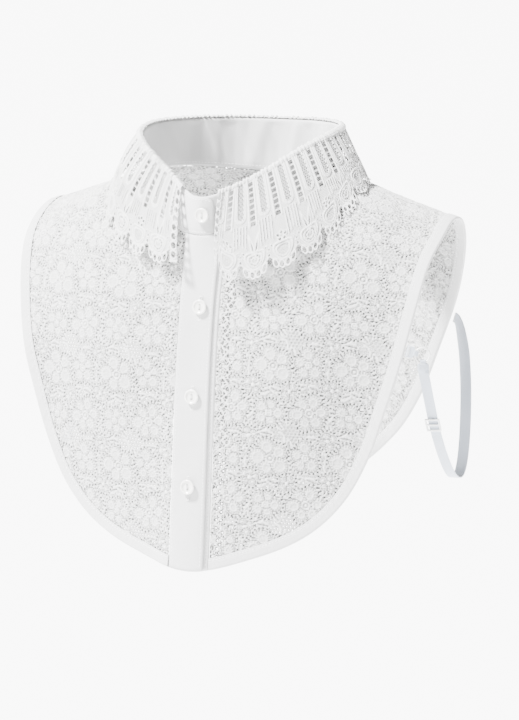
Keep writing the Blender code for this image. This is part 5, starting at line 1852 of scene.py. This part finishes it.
class DICKEY_OT_stage(bpy.types.Operator):
    """Sets the floor, the lights and the camera"""

    bl_idname = "dickey.stage"
    bl_label = "Studio"

    def execute(self, context):
        scene = context.scene
        bpy.ops.mesh.primitive_plane_add(size=80.0, location=(0, 0, FLOOR_HEIGHT))
        floor = context.object
        floor.name = "studio_floor"
        surface = bpy.data.materials.new("matt white studio floor")
        surface.use_nodes = True
        shader = surface.node_tree.nodes["Principled BSDF"]
        shader.inputs["Base Color"].default_value = tuple(scene.dickey.floor_colour) + (1.0,)
        shader.inputs["Roughness"].default_value = 0.9
        floor.data.materials.append(surface)
        Light = namedtuple("Light", "name kind place size energy")
        for light in (Light("key", "SUN", (-1.5, -1.05, 2.6), math.radians(9), 36.0),
                      Light("fill", "AREA", (1.9, -1.9, 0.7), 1.6, 10.0)):
            data = bpy.data.lights.new(light.name, light.kind)
            data.energy = light.energy
            if light.kind == "SUN":
                data.angle = light.size
            else:
                data.size = light.size
            lamp = bpy.data.objects.new(light.name, data)
            scene.collection.objects.link(lamp)
            lamp.location = light.place
            lamp.rotation_euler = (-Vector(light.place)).to_track_quat("-Z", "Y").to_euler()
        world = bpy.data.worlds.new("soft studio")
        world.use_nodes = True
        world.node_tree.nodes["Background"].inputs["Color"].default_value = (1, 1, 1, 1)
        world.node_tree.nodes["Background"].inputs["Strength"].default_value = 0.55
        scene.world = world
        self.camera(scene)
        return {"FINISHED"}

    def camera(self, scene):
        """The photograph's view."""
        a, e = math.radians(CAMERA_AZIMUTH), math.radians(CAMERA_ELEVATION)
        right = Vector((math.cos(a), math.sin(a), 0))
        up = Vector((-math.sin(a) * math.sin(e), math.cos(a) * math.sin(e), math.cos(e)))
        back = right.cross(up)
        data = bpy.data.cameras.new("camera")
        data.lens = CAMERA_LENS
        data.sensor_width = 36.0
        data.clip_end = 200.0
        camera = bpy.data.objects.new("camera", data)
        scene.collection.objects.link(camera)
        place = back * CAMERA_DISTANCE + right * CAMERA_RIGHT - up * CAMERA_DOWN
        camera.matrix_world = Matrix((
            (right.x, up.x, back.x, place.x), (right.y, up.y, back.y, place.y),
            (right.z, up.z, back.z, place.z), (0, 0, 0, 1)))
        scene.camera = camera


class DICKEY_PT_panel(bpy.types.Panel):
    """The dickey's sizes and the buttons that build it"""

    bl_idname = "DICKEY_PT_panel"
    bl_label = "Dickey"
    bl_space_type = "VIEW_3D"
    bl_region_type = "UI"
    bl_category = "Dickey"

    def draw(self, context):
        for key in DickeySettings.__annotations__:
            self.layout.prop(context.scene.dickey, key)
        for operator in OPERATORS:
            self.layout.operator(operator.bl_idname)


OPERATORS = (DICKEY_OT_bibs, DICKEY_OT_fall, DICKEY_OT_stand, DICKEY_OT_plackets, DICKEY_OT_binding,
             DICKEY_OT_buttons, DICKEY_OT_straps, DICKEY_OT_stage)
CLASSES = (DickeySettings, DICKEY_PT_panel) + OPERATORS


def register():
    """Adds the classes and the scene's settings."""
    for made in CLASSES:
        bpy.utils.register_class(made)
    bpy.types.Scene.dickey = bpy.props.PointerProperty(type=DickeySettings)


def unregister():
    """Takes them away again."""
    del bpy.types.Scene.dickey
    for made in reversed(CLASSES):
        bpy.utils.unregister_class(made)


def main():
    """Builds everything; the bibs and the straps print their sizes as they are made."""
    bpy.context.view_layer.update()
    register()
    for operator in OPERATORS:
        group, action = operator.bl_idname.split(".")
        getattr(getattr(bpy.ops, group), action)()


if __name__ == "__main__":
    main()
